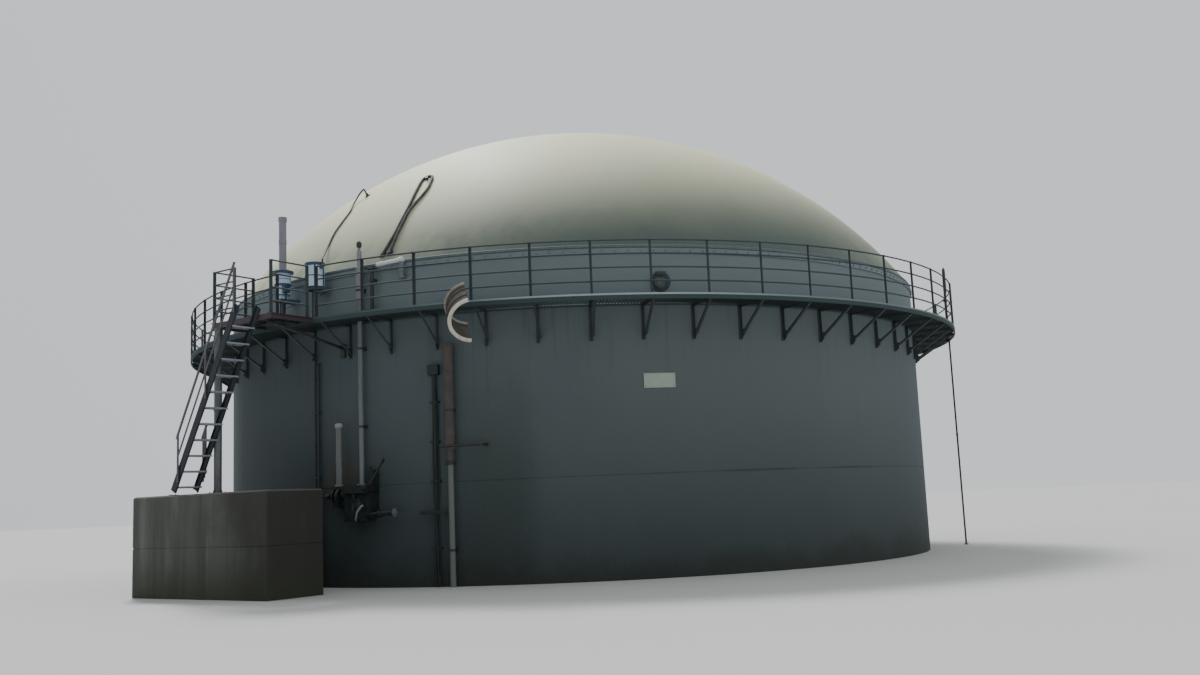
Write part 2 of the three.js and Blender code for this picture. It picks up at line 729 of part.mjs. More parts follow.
function domeHose() {
  const [azimuth, radius] = RIGHT_DRUM;
  const [x, top] = DRUM_OUTLET;
  const outlet = vec(x, drumLine(radius), top + GAP).applyAxisAngle(vec(0, 0, 1), radians(azimuth));
  const lug = domePoint(...HOSE_LUG, 0).addScaledVector(domeNormal(HOSE_LUG), 70 + GAP);
  const points = [
    outlet,
    outlet.clone().add(vec(0, 0, 110)),
    domePoint(-5515, -7180, 130),
    domePoint(-5525, -6656, 26),
    domePoint(-5461, -6273, 24),
    domePoint(-5332, -5923, 24),
    domePoint(-5238, -5610, 28),
    domePoint(-5224, -5250, 45),
    vec(-5170, -5000, 9140),
    vec(-5095, -4930, 9292),
    vec(-5022, -4935, 9358),
    lug.clone().addScaledVector(domeNormal(HOSE_LUG), 65),
    lug,
  ];
  return cut(tube(points, 20, 6, 60), [domeCap()]);
}

// Assembly
add("tank_floor", tankFloor(), CONCRETE);
for (let sector = 0; sector < SECTORS; sector++) {
  add(`tank_wall_${sector + 1}`, tankWall(sector), SLATE);
}
add("membrane_dome", membraneDome(), MEMBRANE);
for (let length = 0; length < CLAMP_LENGTHS; length++) {
  add(`membrane_clamp_${length + 1}`, clampRing(length), CLAMP_STEEL);
}
for (let sector = 0; sector < SECTORS; sector++) {
  add(`walkway_${sector + 1}`, walkway(sector), DARK_STEEL);
}

const OPEN_BEFORE = 360 + FIRST_BRACKET - 6 * PITCH; // the railing is open after this post
for (let sector = 0; sector < SECTORS; sector++) {
  const places = sectorPlaces(sector);
  const last = places.findIndex((place) => Math.abs(place.azimuth - OPEN_BEFORE) < 0.01);
  if (last < 0) {
    add(`railing_${sector + 1}`, railingRun(places), DARK_STEEL);
  } else {
    add(`railing_${sector + 1}a`, railingRun(places.slice(0, last + 1)), DARK_STEEL);
    add(`railing_${sector + 1}b`, railingRun(places.slice(last + 1)), DARK_STEEL);
  }
}

const [railingRight, railingLeft] = landingRailing();
add("landing_deck", landingDeck(), DARK_STEEL, LANDING_AZIMUTH);
add("landing_post", landingPost(), GALVANISED, LANDING_AZIMUTH);
add("landing_strut", landingStrut(), RUST, LANDING_AZIMUTH);
add("landing_railing_right", railingRight, DARK_STEEL, LANDING_AZIMUTH);
add("landing_railing_left", railingLeft, DARK_STEEL, LANDING_AZIMUTH);
add("stair_flight", stairFlight(), GALVANISED, LANDING_AZIMUTH);
add("stair_handrail_outer", stairHandrail(-1, 0, 10.5), GALVANISED, LANDING_AZIMUTH);
add("stair_handrail_inner", stairHandrail(1, 10, 10.5), GALVANISED, LANDING_AZIMUTH);
add("stair_block", stairBlock(), CONCRETE, LANDING_AZIMUTH);

add("round_port", roundPort(11.2), GLASS_DARK, 11.2);
add("sign_plate", signPlate(10.5), SIGN_GREEN, 10.5);
add("relief_drum_left", reliefDrumLeft(), BLUE_WHITE, LEFT_DRUM[0]);
add("drum_stand_left", drumStand(LEFT_DRUM, 160), DARK_STEEL, LEFT_DRUM[0]);
add("relief_stack", reliefStack(), STACK_GREY, LEFT_DRUM[0]);
add("relief_drum_right", reliefDrumRight(), BLUE_WHITE, RIGHT_DRUM[0]);
add("drum_stand_right", drumStand(RIGHT_DRUM, 215), DARK_STEEL, RIGHT_DRUM[0]);
add("vent_pipe", ventPipe(VENT_AZIMUTH), GREY_PLASTIC, VENT_AZIMUTH);
add("inlet_post", inletPost(-26.9), DARK_STEEL, -26.9);
add("inlet_tube", inletTube(), WHITE_PLASTIC);
add("inlet_support", inletSupport(), DARK_STEEL);
add("valve_casing", valveCasing(-30.3), CAST_DARK, -30.3);
add("stub_pipe", stubPipe(), GREY_PLASTIC, -32.2);
add("valve_handwheel", handwheel(), CAST_DARK, -30.3);
add("wall_conduits", wallConduits(-37.5), DARK_STEEL, -37.5);
add("cable_trunk", cableTrunk(-18.4), DARK_STEEL, -18.4);
add("wall_riser", wallRiser(-16.2), RUST, -16.2);
add("hose_saddle", hoseSaddle(), BEIGE);
add("lightning_rod", lightningRod(), DARK_STEEL, ROD_AZIMUTH);
add("strap_hook", domeFitting(STRAP_HOOK, HOOK_PROFILE), DARK_STEEL);
add("dome_strap", domeStrap(), RUBBER);
add("hose_lug", domeFitting(HOSE_LUG, LUG_PROFILE), DARK_STEEL);
add("dome_hose", domeHose(), RUBBER);

export default digester;
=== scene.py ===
"""Looks for a biogas digester: tank, membrane dome, ring walkway, stair and wall fittings."""

import math
from itertools import product

import bmesh
import bpy
from bpy.props import FloatProperty, FloatVectorProperty, IntProperty, PointerProperty
from mathutils import Matrix, Vector


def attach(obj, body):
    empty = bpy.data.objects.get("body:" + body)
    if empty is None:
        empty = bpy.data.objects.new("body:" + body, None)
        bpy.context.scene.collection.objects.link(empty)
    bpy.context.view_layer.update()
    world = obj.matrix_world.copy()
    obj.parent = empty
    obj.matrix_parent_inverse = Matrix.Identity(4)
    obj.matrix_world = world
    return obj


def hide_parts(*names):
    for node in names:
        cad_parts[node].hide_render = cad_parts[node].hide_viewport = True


bl_info = {
    "name": "Biogas digester",
    "version": (1, 0, 0),
    "blender": (4, 5, 0),
    "location": "View3D > Sidebar > Digester",
    "description": "Dresses the digester's frame with its finished pieces",
    "category": "Object",
}

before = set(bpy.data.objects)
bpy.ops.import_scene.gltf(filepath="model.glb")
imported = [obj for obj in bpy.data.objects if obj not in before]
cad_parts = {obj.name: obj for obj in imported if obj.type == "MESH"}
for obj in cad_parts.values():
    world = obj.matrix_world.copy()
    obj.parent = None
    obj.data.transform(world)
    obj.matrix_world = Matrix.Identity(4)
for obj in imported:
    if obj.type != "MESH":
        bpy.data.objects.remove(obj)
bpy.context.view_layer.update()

# Sizes of the frame in metres, and azimuths in degrees
WALL_RADIUS, WALL_INSIDE, WALL_TOP = 9.25, 9.0, 6.77
DOME_RISE = 4.85
DOME_SPHERE = (WALL_RADIUS**2 + DOME_RISE**2) / (2 * DOME_RISE)
DOME_CENTRE = WALL_TOP + DOME_RISE - DOME_SPHERE
DOME_HALF_ANGLE = math.acos((WALL_TOP - DOME_CENTRE) / DOME_SPHERE)
BAYS = 54
PITCH = 360 / BAYS
FIRST_BRACKET = 2.0
BRACKET_FOOT = 4.82
DECK_TOP, DECK_RADIUS = 5.58, 10.3
GRATING_LOW = DECK_TOP - 0.035
RAIL_LINE, RAIL_HEIGHT = 10.267, 1.1
RAIL_LEVELS = [DECK_TOP + RAIL_HEIGHT * row / 4 - 0.017 for row in range(1, 5)]
POUR_JOINT = 2.08
BLOCK_TOP = 2.05
SECTORS = range(1, 7)
UP, OUT = (0, 0, 1), (0, -1, 0)

# Distances along Y: the wall's face, two depths in it, and the front of a plate on it
FACE = -WALL_RADIUS
SEAT, SUNK, PLATE_FRONT = FACE + 0.004, FACE + 0.010, FACE - 0.006


def polar(azimuth, radius, height):
    """A point at an azimuth in degrees, which is 0 at -Y and grows towards +X."""
    a = math.radians(azimuth)
    return Vector((radius * math.sin(a), -radius * math.cos(a), height))


def around(count, phase=0.0):
    """Cosine and sine of evenly spaced turns."""
    turns = [2 * math.pi * (k + phase) / count for k in range(count)]
    return [(math.cos(t), math.sin(t)) for t in turns]


def oblong(x0, y0, x1, y1):
    """Corners of a flat oblong, in order."""
    return [(x0, y0), (x1, y0), (x1, y1), (x0, y1)]


def dome_point(x, y, above=0.0):
    """The point of the dome over x and y, or so far above its skin."""
    radius = DOME_SPHERE + above
    return Vector((x, y, DOME_CENTRE + math.sqrt(radius**2 - x * x - y * y)))


def dome_normal(x, y):
    return (dome_point(x, y) - Vector((0, 0, DOME_CENTRE))).normalized()


def smooth_line(points, steps):
    """A centripetal Catmull-Rom curve through the points, with steps to each span."""
    ends = [points[0] * 2 - points[1], *points, points[-1] * 2 - points[-2]]
    line = []
    for a, b, c, d in zip(ends, ends[1:], ends[2:], ends[3:]):
        before, here, after = (math.sqrt((q - p).length) for p, q in ((a, b), (b, c), (c, d)))
        leave = ((b - a) / before - (c - a) / (before + here) + (c - b) / here) * here
        arrive = ((c - b) / here - (d - b) / (here + after) + (d - c) / after) * here
        for i in range(steps):
            t = i / steps
            line.append(
                b * (2 * t**3 - 3 * t**2 + 1) + leave * (t**3 - 2 * t**2 + t)
                + c * (3 * t**2 - 2 * t**3) + arrive * (t**3 - t**2)
            )
    return [*line, points[-1]]


def line_length(line):
    return sum((b - a).length for a, b in zip(line, line[1:]))


# Node trees


def maths(tree, operation, *values):
    """A Math node over numbers or fields."""
    return tree.node("ShaderNodeMath", {"operation": operation}, dict(enumerate(values)))


class Field:
    """A node's output, which Python expressions turn into Math nodes."""

    def __init__(self, tree, socket):
        self.tree = tree
        self.socket = socket

    def __add__(self, other):
        return maths(self.tree, "ADD", self, other)

    def __radd__(self, other):
        return maths(self.tree, "ADD", other, self)

    def __sub__(self, other):
        return maths(self.tree, "SUBTRACT", self, other)

    def __rsub__(self, other):
        return maths(self.tree, "SUBTRACT", other, self)

    def __mul__(self, other):
        return maths(self.tree, "MULTIPLY", self, other)

    def __rmul__(self, other):
        return maths(self.tree, "MULTIPLY", other, self)

    def __abs__(self):
        return maths(self.tree, "ABSOLUTE", self)

    def ease(self, low, high):
        """0 below low and 1 above high, smooth between."""
        return self.tree.node(
            "ShaderNodeMapRange",
            {"interpolation_type": "SMOOTHSTEP"},
            {0: self, 1: low, 2: high, 3: 0.0, 4: 1.0},
        )

    def fade(self, low, high):
        """1 below low and 0 above high, smooth between."""
        return 1.0 - self.ease(low, high)


class Tree:
    """A node tree that is being built."""

    def __init__(self, tree):
        self.tree = tree

    def node(self, kind, settings=None, sockets=None, out=0):
        """Adds a node: its settings first, then the values or links of its inputs."""
        node = self.tree.nodes.new(kind)
        for key, value in (settings or {}).items():
            setattr(node, key, value)
        self.fill(node, sockets or {})
        return Field(self, node.outputs[out])

    def fill(self, node, sockets):
        for key, value in sockets.items():
            if isinstance(value, Field):
                self.tree.links.new(value.socket, node.inputs[key])
            else:
                node.inputs[key].default_value = value


class Finish(Tree):
    """A material whose colour, roughness and relief come from procedural nodes."""

    def __init__(self, name):
        self.material = bpy.data.materials.new(name)
        self.material.use_nodes = True
        super().__init__(self.material.node_tree)
        self.tree.nodes.clear()
        self.shader = self.tree.nodes.new("ShaderNodeBsdfPrincipled")
        output = self.tree.nodes.new("ShaderNodeOutputMaterial")
        self.tree.links.new(self.shader.outputs[0], output.inputs[0])
        self.place = self.node("ShaderNodeTexCoord", out="Object")
        self.colour = None

    def axis(self, name):
        return self.node("ShaderNodeSeparateXYZ", sockets={0: self.place}, out=name)

    def noise(self, scale, detail=4.0, roughness=0.55, stretch=None, turn=(0, 0, 0)):
        at = self.place
        if stretch:
            sockets = {"Vector": at, "Scale": stretch, "Rotation": turn}
            at = self.node("ShaderNodeMapping", sockets=sockets)
        sockets = {"Vector": at, "Scale": scale, "Detail": detail, "Roughness": roughness}
        return self.node("ShaderNodeTexNoise", sockets=sockets, out="Fac")

    def cells(self, scale):
        sockets = {"Vector": self.place, "Scale": scale}
        return self.node("ShaderNodeTexVoronoi", sockets=sockets, out="Distance")

    def upward(self):
        """How far a face looks up, 0 to 1."""
        normal = self.node("ShaderNodeNewGeometry", out="Normal")
        return self.node("ShaderNodeSeparateXYZ", sockets={0: normal}, out="Z").ease(0.3, 0.9)

    def mix(self, share, first, second):
        first, second = (c if isinstance(c, Field) else (*c[:3], 1.0) for c in (first, second))
        settings = {"data_type": "RGBA", "clamp_factor": True}
        return self.node("ShaderNodeMix", settings, {0: share, 6: first, 7: second}, out=2)

    def lay(self, share, colour):
        """Covers a share of the colour so far with another."""
        self.colour = self.mix(share, self.colour, colour)

    def done(self, roughness, relief=None, metallic=0.0, **constants):
        """Fills the shader; relief is a height, its depth in metres and its strength."""
        values = {"Base Color": self.colour, "Roughness": roughness, "Metallic": metallic}
        if relief:
            bump = dict(zip(("Height", "Distance", "Strength"), relief))
            values["Normal"] = self.node("ShaderNodeBump", sockets=bump)
        self.fill(self.shader, {**values, **constants})
        return self.material


# Finishes


def toned(colour, share):
    """A colour made darker by a share under 1, or lighter."""
    return tuple(c * share for c in colour)


def slate_wall(looks):
    """Dark slate coating on cast concrete, streaked by rain and damp at the foot, with painted
    light and shade: lighter towards +X and above the walkway, darker at the left front and towards
    the right edge.
    """
    f = Finish("slate_wall")
    x, z = f.axis("X"), f.axis("Z")
    front = (f.axis("Y") * -1.0).ease(-4.0, 3.0)
    broad, grain = f.noise(0.35, 3), f.noise(14.0, 6, 0.6)
    runs = f.noise(1.0, 5, 0.6, (1.6, 1.6, 0.07))
    fine_runs = f.noise(1.0, 4, 0.6, (7.0, 7.0, 0.25))
    f.colour = f.mix(0.3 + broad.ease(0.25, 0.75) * 0.4, looks.wall_colour, looks.wall_faded)
    # Painted light: the wall is made lighter towards +X with the faded colour
    f.lay(x.ease(-6.0, 6.0) * 0.8, looks.wall_faded)
    # Painted shade: darker over the left front of the wall, leaving a lit strip at its left edge
    f.lay(x.ease(-8.9, -8.0) * x.fade(-7.6, -4.2) * front * 0.6, (0.016, 0.025, 0.031))
    # Painted shade: darker again towards the right edge
    f.lay(x.ease(6.0, 9.3) * 0.7, looks.wall_colour)
    f.lay(runs.ease(0.55, 0.75) * 0.35, looks.wall_streak)
    below_deck, above_deck = z.ease(3.0, 5.4), z.ease(5.5, 5.9)
    f.lay(fine_runs.ease(0.52, 0.78) * below_deck * 0.3, (0.025, 0.03, 0.03))
    # Painted light: the wall above the walkway is paler, as if lit from above
    f.lay(above_deck * 0.85, looks.sunlit_band_colour)
    joint = abs(z - POUR_JOINT).fade(0.01, 0.05) * f.noise(0.45, 3).ease(0.42, 0.6)
    f.lay(joint * (0.25 + x.ease(0.0, 5.0) * 0.75) * 0.35, (0.03, 0.036, 0.036))
    olive = (abs(x + 1.7) + (runs - 0.5) * 0.8).fade(0.3, 1.1) * z.fade(2.0, 5.2)
    f.lay(olive * front * 0.4, (0.040, 0.052, 0.044))
    brown = (abs(x + 5.05) + (grain - 0.5) * 0.3).fade(0.10, 0.55) * z.ease(1.5, 2.0)
    brown = brown * (z + (runs - 0.5) * 0.8).fade(2.3, 3.0)
    f.lay(brown * front * 0.75, (0.105, 0.092, 0.066))
    f.lay((z + (broad - 0.5) * 0.4).fade(-1.6, 5.0) * 0.8, (0.018, 0.026, 0.027))
    damp = (z + (f.noise(1.1, 5) - 0.5) * 1.2).fade(0.05, 0.7)
    f.lay(damp * 0.5, (0.026, 0.032, 0.022))
    f.lay(grain.ease(0.45, 0.8) * 0.08, (0.17, 0.18, 0.175))
    height = grain * 0.3 + runs * 0.25 + f.noise(60.0, 3) * 0.15
    return f.done(0.68 + 0.2 * grain, (height, 0.015, 0.4), **{"Specular IOR Level": 0.25})


def membrane(looks):
    """Cream coated fabric, greener and soiled in long runs towards the rim, with painted shade that
    darkens it towards the rim, most on the side towards -Y and +X.
    """
    f = Finish("membrane")
    x, y, z = (f.axis(name) for name in "XYZ")
    broad = f.noise(0.3, 4)
    runs = f.noise(1.0, 5, 0.6, (2.4, 2.4, 0.5))
    level = z + (broad - 0.5) * 0.7
    # Partly painted shade: low down, the sunny colour is greener from growth and darker as shade
    sunny = f.mix(level.ease(6.3, 9.8), looks.membrane_low_green_and_shade, looks.membrane_top)
    # Painted shade: the shaded colour goes from the dirt colour low down to cream at the top, and
    # is mixed in towards -Y and +X, less at the far right
    shady = f.mix(level.ease(6.6, 10.6), looks.membrane_soil_and_shade, looks.membrane_top)
    shade = (x * 0.52 - y * 0.86).ease(1.3, 8.6) * (1.0 - x.ease(5.0, 8.8) * 0.35)
    f.colour = f.mix(shade, sunny, shady)
    # Painted shade: darker low down between x 0 and 8
    low_right_shade = x.ease(0.0, 4.5) * x.fade(5.0, 8.0) * level.fade(7.2, 9.4)
    f.lay(low_right_shade * 0.3, looks.membrane_soil_and_shade)
    f.lay(level.fade(6.7, 8.0) * runs.ease(0.35, 0.7) * 0.45, looks.membrane_soil_and_shade)
    f.lay(f.noise(3.0, 6, 0.65).ease(0.55, 0.8) * 0.12, (0.3, 0.31, 0.2))
    height = f.noise(90.0, 2) * 0.2 + broad * 0.4
    gloss = {"Coat Weight": 0.03, "Coat Roughness": 0.4, "Specular IOR Level": 0.35}
    return f.done(0.55 + 0.2 * broad, (height, 0.01, 0.25), **gloss)


def edge_paint():
    """Edge plate of the walkway: dark paint with a painted highlight along its top lip, faint on
    the stair's side and weaker towards +X.
    """
    f = Finish("edge_paint")
    x, z = f.axis("X"), f.axis("Z")
    patches, specks = f.noise(4.0, 6, 0.65), f.noise(38.0, 4, 0.6)
    # Painted highlight: a pale strip along the top lip, faint where x is below -4.5 and weaker
    # beyond x 1.5
    lip = (z + (patches - 0.5) * 0.01).ease(DECK_TOP - 0.030, DECK_TOP - 0.018)
    highlight_share = (x + (patches - 0.5) * 2.0).ease(-4.5, 0.5) * (1.0 - x.ease(1.5, 5.5) * 0.62)
    pale = f.mix(patches, (0.43, 0.50, 0.51), (0.28, 0.33, 0.34))
    f.colour = f.mix(lip * (0.10 + 0.90 * highlight_share), (0.046, 0.072, 0.076), pale)
    f.lay(specks.ease(0.56, 0.72) * 0.3, (0.075, 0.062, 0.050))
    relief = (patches + specks, 0.003, 0.5)
    return f.done(0.7 + 0.2 * specks, relief, **{"Specular IOR Level": 0.15})


def steel_paint(name, colour, rust, wear=0.4, roughness=0.5, dust=0.35):
    """Paint over steel, with dust on top faces and rust where it has worn."""
    f = Finish(name)
    patches, specks = f.noise(5.0, 6, 0.65), f.noise(38.0, 4, 0.6)
    f.colour = f.mix(f.noise(1.3, 3), colour, toned(colour, 1.7))
    worn = (patches * 0.7 + specks * 0.3).ease(0.62 - 0.12 * wear, 0.74 - 0.1 * wear)
    f.lay(worn * wear, rust)
    f.lay(f.upward() * f.noise(9.0).ease(0.3, 0.7) * dust, (0.16, 0.155, 0.14))
    return f.done(roughness + 0.3 * worn, (worn * 0.5 + specks * 0.3, 0.004, 0.5))


def zinc(name, colour, stain=0.3, rust=0.0):
    """Zinc coat with faint spangle and stains."""
    f = Finish(name)
    spangle, cloud = f.cells(26.0), f.noise(2.2, 5)
    f.colour = f.mix(spangle * 0.6, colour, toned(colour, 0.68))
    f.lay(cloud.ease(0.45, 0.75) * stain, (0.09, 0.085, 0.075))
    if rust:
        f.lay(f.noise(11.0, 6, 0.7).ease(0.56, 0.68) * rust, (0.16, 0.06, 0.025))
    return f.done(0.42 + 0.25 * cloud, (spangle * 0.2 + f.noise(60.0), 0.002, 0.4), 0.45)


def rusty_paint():
    """Brown paint gone to rust, darker and greyer towards the foot."""
    f = Finish("rusty_paint")
    patches, specks = f.noise(3.5, 6, 0.65), f.noise(40.0, 5, 0.65)
    f.colour = f.mix(patches.ease(0.4, 0.62), (0.064, 0.062, 0.058), (0.098, 0.078, 0.067))
    f.lay(specks.ease(0.5, 0.75) * 0.5, (0.045, 0.036, 0.033))
    f.lay(f.axis("Z").fade(2.35, 2.6) * 0.85, (0.165, 0.192, 0.182))
    return f.done(0.62 + 0.25 * specks, (patches * 0.4 + specks, 0.004, 0.6))


def plastic(name, colour, dirt, share=0.5, roughness=0.45):
    """Pipe plastic or enamel, chalked and streaked with dirt."""
    f = Finish(name)
    runs = f.noise(1.0, 5, 0.6, (14.0, 14.0, 1.2))
    f.colour = f.mix(f.noise(3.0, 4), colour, toned(colour, 0.8))
    f.lay(runs.ease(0.48, 0.74) * share, dirt)
    f.lay(f.noise(45.0, 4).ease(0.6, 0.8) * 0.3, dirt)
    return f.done(roughness + 0.25 * runs, (runs + f.noise(30.0), 0.002, 0.3))


def floor_concrete():
    """Cast concrete with stains, pores and growth near the ground."""
    f = Finish("floor_concrete")
    cloud, grain = f.noise(0.9, 5), f.noise(30.0, 6, 0.65)
    runs = f.noise(1.0, 5, 0.6, (3.2, 3.2, 0.16))
    pores = f.cells(24.0).ease(0.05, 0.16)
    tone = (0.20, 0.195, 0.175)
    f.colour = f.mix(cloud, tone, toned(tone, 0.62))
    f.lay(runs.ease(0.45, 0.7) * 0.6, (0.06, 0.055, 0.045))
    f.lay((f.axis("Z") + (cloud - 0.5)).fade(0.1, 0.8) * 0.7, (0.05, 0.055, 0.03))
    f.lay((1.0 - pores) * 0.5, (0.05, 0.048, 0.042))
    return f.done(0.8 + 0.15 * grain, (grain * 0.5 + pores * 0.5 + runs * 0.3, 0.01, 0.5))


def board_concrete():
    """Concrete of the stair's block: board marks, rain stains and growth at the foot, and a dark
    stain that runs into painted shadow over the part towards +X.
    """
    f = Finish("board_concrete")
    z = f.axis("Z")
    cloud, grain = f.noise(0.8, 5), f.noise(26.0, 6, 0.65)
    runs = f.noise(1.0, 5, 0.6, (2.6, 2.6, 0.18))
    bloom = f.noise(1.0, 4, 0.6, (1.9, 1.9, 0.25), (0, 0, 0.7))
    seams = maths(f, "FRACT", z * 6.5).fade(0.0, 0.07)
    f.colour = f.mix(cloud, (0.104, 0.113, 0.100), (0.064, 0.070, 0.061))
    f.lay(bloom.ease(0.54, 0.70) * 0.6, (0.155, 0.166, 0.157))
    # Partly a dark stain, partly painted shadow: darker over the block towards +X
    right = (f.axis("X") + (cloud - 0.5) * 2.0).ease(-7.4, -6.0)
    f.lay(right * 0.85, (0.022, 0.022, 0.018))
    f.lay(runs.ease(0.42, 0.68) * 0.6, (0.036, 0.037, 0.032))
    f.lay(z.ease(BLOCK_TOP - 0.05, BLOCK_TOP - 0.01) * 0.45, (0.16, 0.158, 0.14))
    f.lay(seams * 0.12, (0.035, 0.033, 0.028))
    f.lay((z + (cloud - 0.5)).fade(0.05, 0.9) * 0.6, (0.034, 0.040, 0.022))
    return f.done(0.8 + 0.15 * grain, (grain * 0.4 - seams * 0.25 + runs * 0.3, 0.01, 0.5))


def greasy_casting():
    """Dark casting with oil, dust and rust."""
    f = Finish("greasy_casting")
    patches, specks = f.noise(6.0, 6, 0.65), f.noise(50.0, 5, 0.65)
    f.colour = f.mix(patches.ease(0.4, 0.65), (0.011, 0.021, 0.020), (0.024, 0.032, 0.029))
    f.lay(specks.ease(0.55, 0.75) * 0.25, (0.045, 0.055, 0.050))
    f.lay(f.upward() * 0.45, (0.15, 0.148, 0.135))
    return f.done(0.38 + 0.4 * patches, (patches + specks, 0.005, 0.6), 0.2)


def rubber():
    """Dull black rubber, dusty and scuffed."""
    f = Finish("rubber")
    cloud = f.noise(6.0, 5)
    f.colour = f.mix(cloud.ease(0.35, 0.7), (0.034, 0.037, 0.033), (0.085, 0.088, 0.074))
    return f.done(0.55 + 0.3 * cloud, (f.noise(70.0, 3), 0.001, 0.4))


def dark_glass():
    """Glass of the port, filmed with dust."""
    f = Finish("dark_glass")
    film = f.noise(9.0, 5)
    f.colour = f.mix(film.ease(0.4, 0.7) * 0.6, (0.050, 0.063, 0.067), (0.115, 0.135, 0.138))
    return f.done(0.12 + 0.4 * film, (film, 0.001, 0.2))


def sign_enamel():
    """Pale green enamel without any mark, rusty at its fixings."""
    f = Finish("sign_enamel")
    cloud = f.noise(7.0, 5)
    f.colour = f.mix(cloud, (0.39, 0.475, 0.385), (0.28, 0.35, 0.29))
    f.lay(f.noise(16.0, 6, 0.7).ease(0.6, 0.72) * 0.4, (0.22, 0.17, 0.12))
    return f.done(0.4 + 0.3 * cloud, (cloud, 0.002, 0.3))


# Shapes


def collar(radius, low, high, lean, rise=0.004):
    """Profile of a band whose edges lean in towards what it goes round."""
    inner = radius - lean
    return [(inner, low), (radius, low + rise), (radius, high - rise), (inner, high)]


class Shape:
    """Closed bodies of one piece, gathered in the frame of the part before they become a mesh."""

    def __init__(self, azimuth=0.0, foot=(0, 0, 0), sides=24):
        self.corners, self.faces, self.finishes = [], [], []
        self.finish = 0
        self.foot, self.sides = foot, sides
        self.turn_to(azimuth)

    def turn_to(self, azimuth):
        self.place = Matrix.Rotation(math.radians(azimuth), 4, "Z")

    def add(self, corners, faces):
        start = len(self.corners)
        self.corners += [self.place @ Vector(corner) for corner in corners]
        self.faces += [[start + i for i in face] for face in faces]
        self.finishes += [self.finish] * len(faces)

    def loft(self, rings, looped=False):
        """Rings of equal length joined in order, with closed ends unless the rings form a loop."""
        n, count = len(rings[0]), len(rings)
        faces = []
        for i in range(count if looped else count - 1):
            a, b = i * n, (i + 1) % count * n
            faces += [[a + j, a + (j + 1) % n, b + (j + 1) % n, b + j] for j in range(n)]
        if not looped:
            faces += [list(range(n)), list(range((count - 1) * n, count * n))[::-1]]
        self.add([corner for ring in rings for corner in ring], faces)

    def block(self, low, high):
        (x0, y0, z0), (x1, y1, z1) = low, high
        self.loft([[(x, y, z) for x, y in oblong(x0, y0, x1, y1)] for z in (z0, z1)])

    def run(self, section, start, end, up=UP):
        """A flat section of (side, up) pairs carried straight from start to end."""
        start, end = Vector(start), Vector(end)
        along = (end - start).normalized()
        side = along.cross(Vector(up)).normalized()
        top = side.cross(along).normalized()
        self.loft([[p + side * s + top * t for s, t in section] for p in (start, end)])

    def bar(self, start, end, width, height=None, up=UP):
        w, h = width / 2, (height or width) / 2
        self.run(oblong(-w, -h, w, h), start, end, up)

    def angle(self, start, end, leg, thick, up=UP, flip=1):
        """An L section whose corner runs from start to end."""
        section = [(0, 0), (leg, 0), (leg, thick), (thick, thick), (thick, leg), (0, leg)]
        self.run([(s * flip, t) for s, t in section], start, end, up)

    def tube(self, path, radius, sides=12, looped=False):
        """A round section along a path, turned as little as the path allows."""
        path = [Vector(p) for p in path]
        radii = radius if isinstance(radius, list) else [radius] * len(path)
        before = [path[-1] if looped else path[0], *path]
        after = [*path[1:], path[0] if looped else path[-1]]
        side = (after[0] - before[0]).normalized().orthogonal().normalized()
        rings = []
        for a, b, p, r in zip(before, after, path, radii):
            way = (b - a).normalized()
            side = (side - way * side.dot(way)).normalized()
            top = way.cross(side)
            rings.append([p + (side * c + top * s) * r for c, s in around(sides)])
        self.loft(rings, looped)

    def turned(self, profile, foot=None, axis=UP, sides=None):
        """Pairs of radius and height turned about an axis through foot, or the shape's foot."""
        foot, axis = Vector(foot or self.foot), Vector(axis).normalized()
        side = Vector((1, 0, 0)) if abs(axis.z) > 0.999 else axis.orthogonal().normalized()
        top = axis.cross(side)
        turns = around(sides or self.sides)
        self.loft([
            [foot + axis * height + (side * c + top * s) * radius for c, s in turns]
            for radius, height in profile
        ])

    def ring(self, profile, segments=216):
        """Pairs of radius and height carried round the tank's axis."""
        turns = [360 * k / segments for k in range(segments)]
        self.loft([[polar(a, r, h) for r, h in profile] for a in turns], looped=True)

    def bolt(self, seat, axis, size):
        """A washer, a six-sided head and a thread's end on a seat."""
        for sides, steps in (
            (12, ((1, 0), (1, 0.2))), (6, ((0.8, 0.2), (0.8, 0.75), (0.6, 0.9))),
            (8, ((0.4, 0.9), (0.36, 1.3))),
        ):
            self.turned([(size * r, size * h) for r, h in steps], seat, axis, sides)

    def bolts(self, seats, axis, size):
        for seat in seats:
            self.bolt(seat, axis, size)

    def bolt_circle(self, middle, axis, radius, size, count, phase=0.5, level=(1, 0, 0)):
        """Bolts round a middle; phase is how far the first lies from level, in spacings."""
        middle, axis, level = Vector(middle), Vector(axis), Vector(level)
        other = axis.cross(level)
        places = [(level * c + other * s) * radius for c, s in around(count, phase)]
        self.bolts([middle + place for place in places], axis, size)


def placed(name, data):
    """An object of the scene that shows a mesh, a lamp or a camera."""
    thing = bpy.data.objects.new(name, data)
    bpy.context.scene.collection.objects.link(thing)
    return thing


def new_piece(name, shape, finishes, smooth=32.0):
    """An object from a shape, sharp where its faces meet at more than smooth degrees."""
    mesh = bpy.data.meshes.new(name)
    mesh.from_pydata([tuple(c) for c in shape.corners], [], shape.faces)
    for finish in finishes:
        mesh.materials.append(finish)
    mesh.polygons.foreach_set("material_index", shape.finishes)
    shell = bmesh.new()
    shell.from_mesh(mesh)
    bmesh.ops.recalc_face_normals(shell, faces=shell.faces)
    shell.to_mesh(mesh)
    shell.free()
    mesh.shade_smooth()
    mesh.set_sharp_from_angle(angle=math.radians(smooth))
    return placed(name, mesh)


def settle(piece, slot, *nodes):
    """Rides a finished piece on the part and hides the frame's parts that it stands in for."""
    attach(piece, "root")
    if nodes:
        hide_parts(*nodes)
    return piece


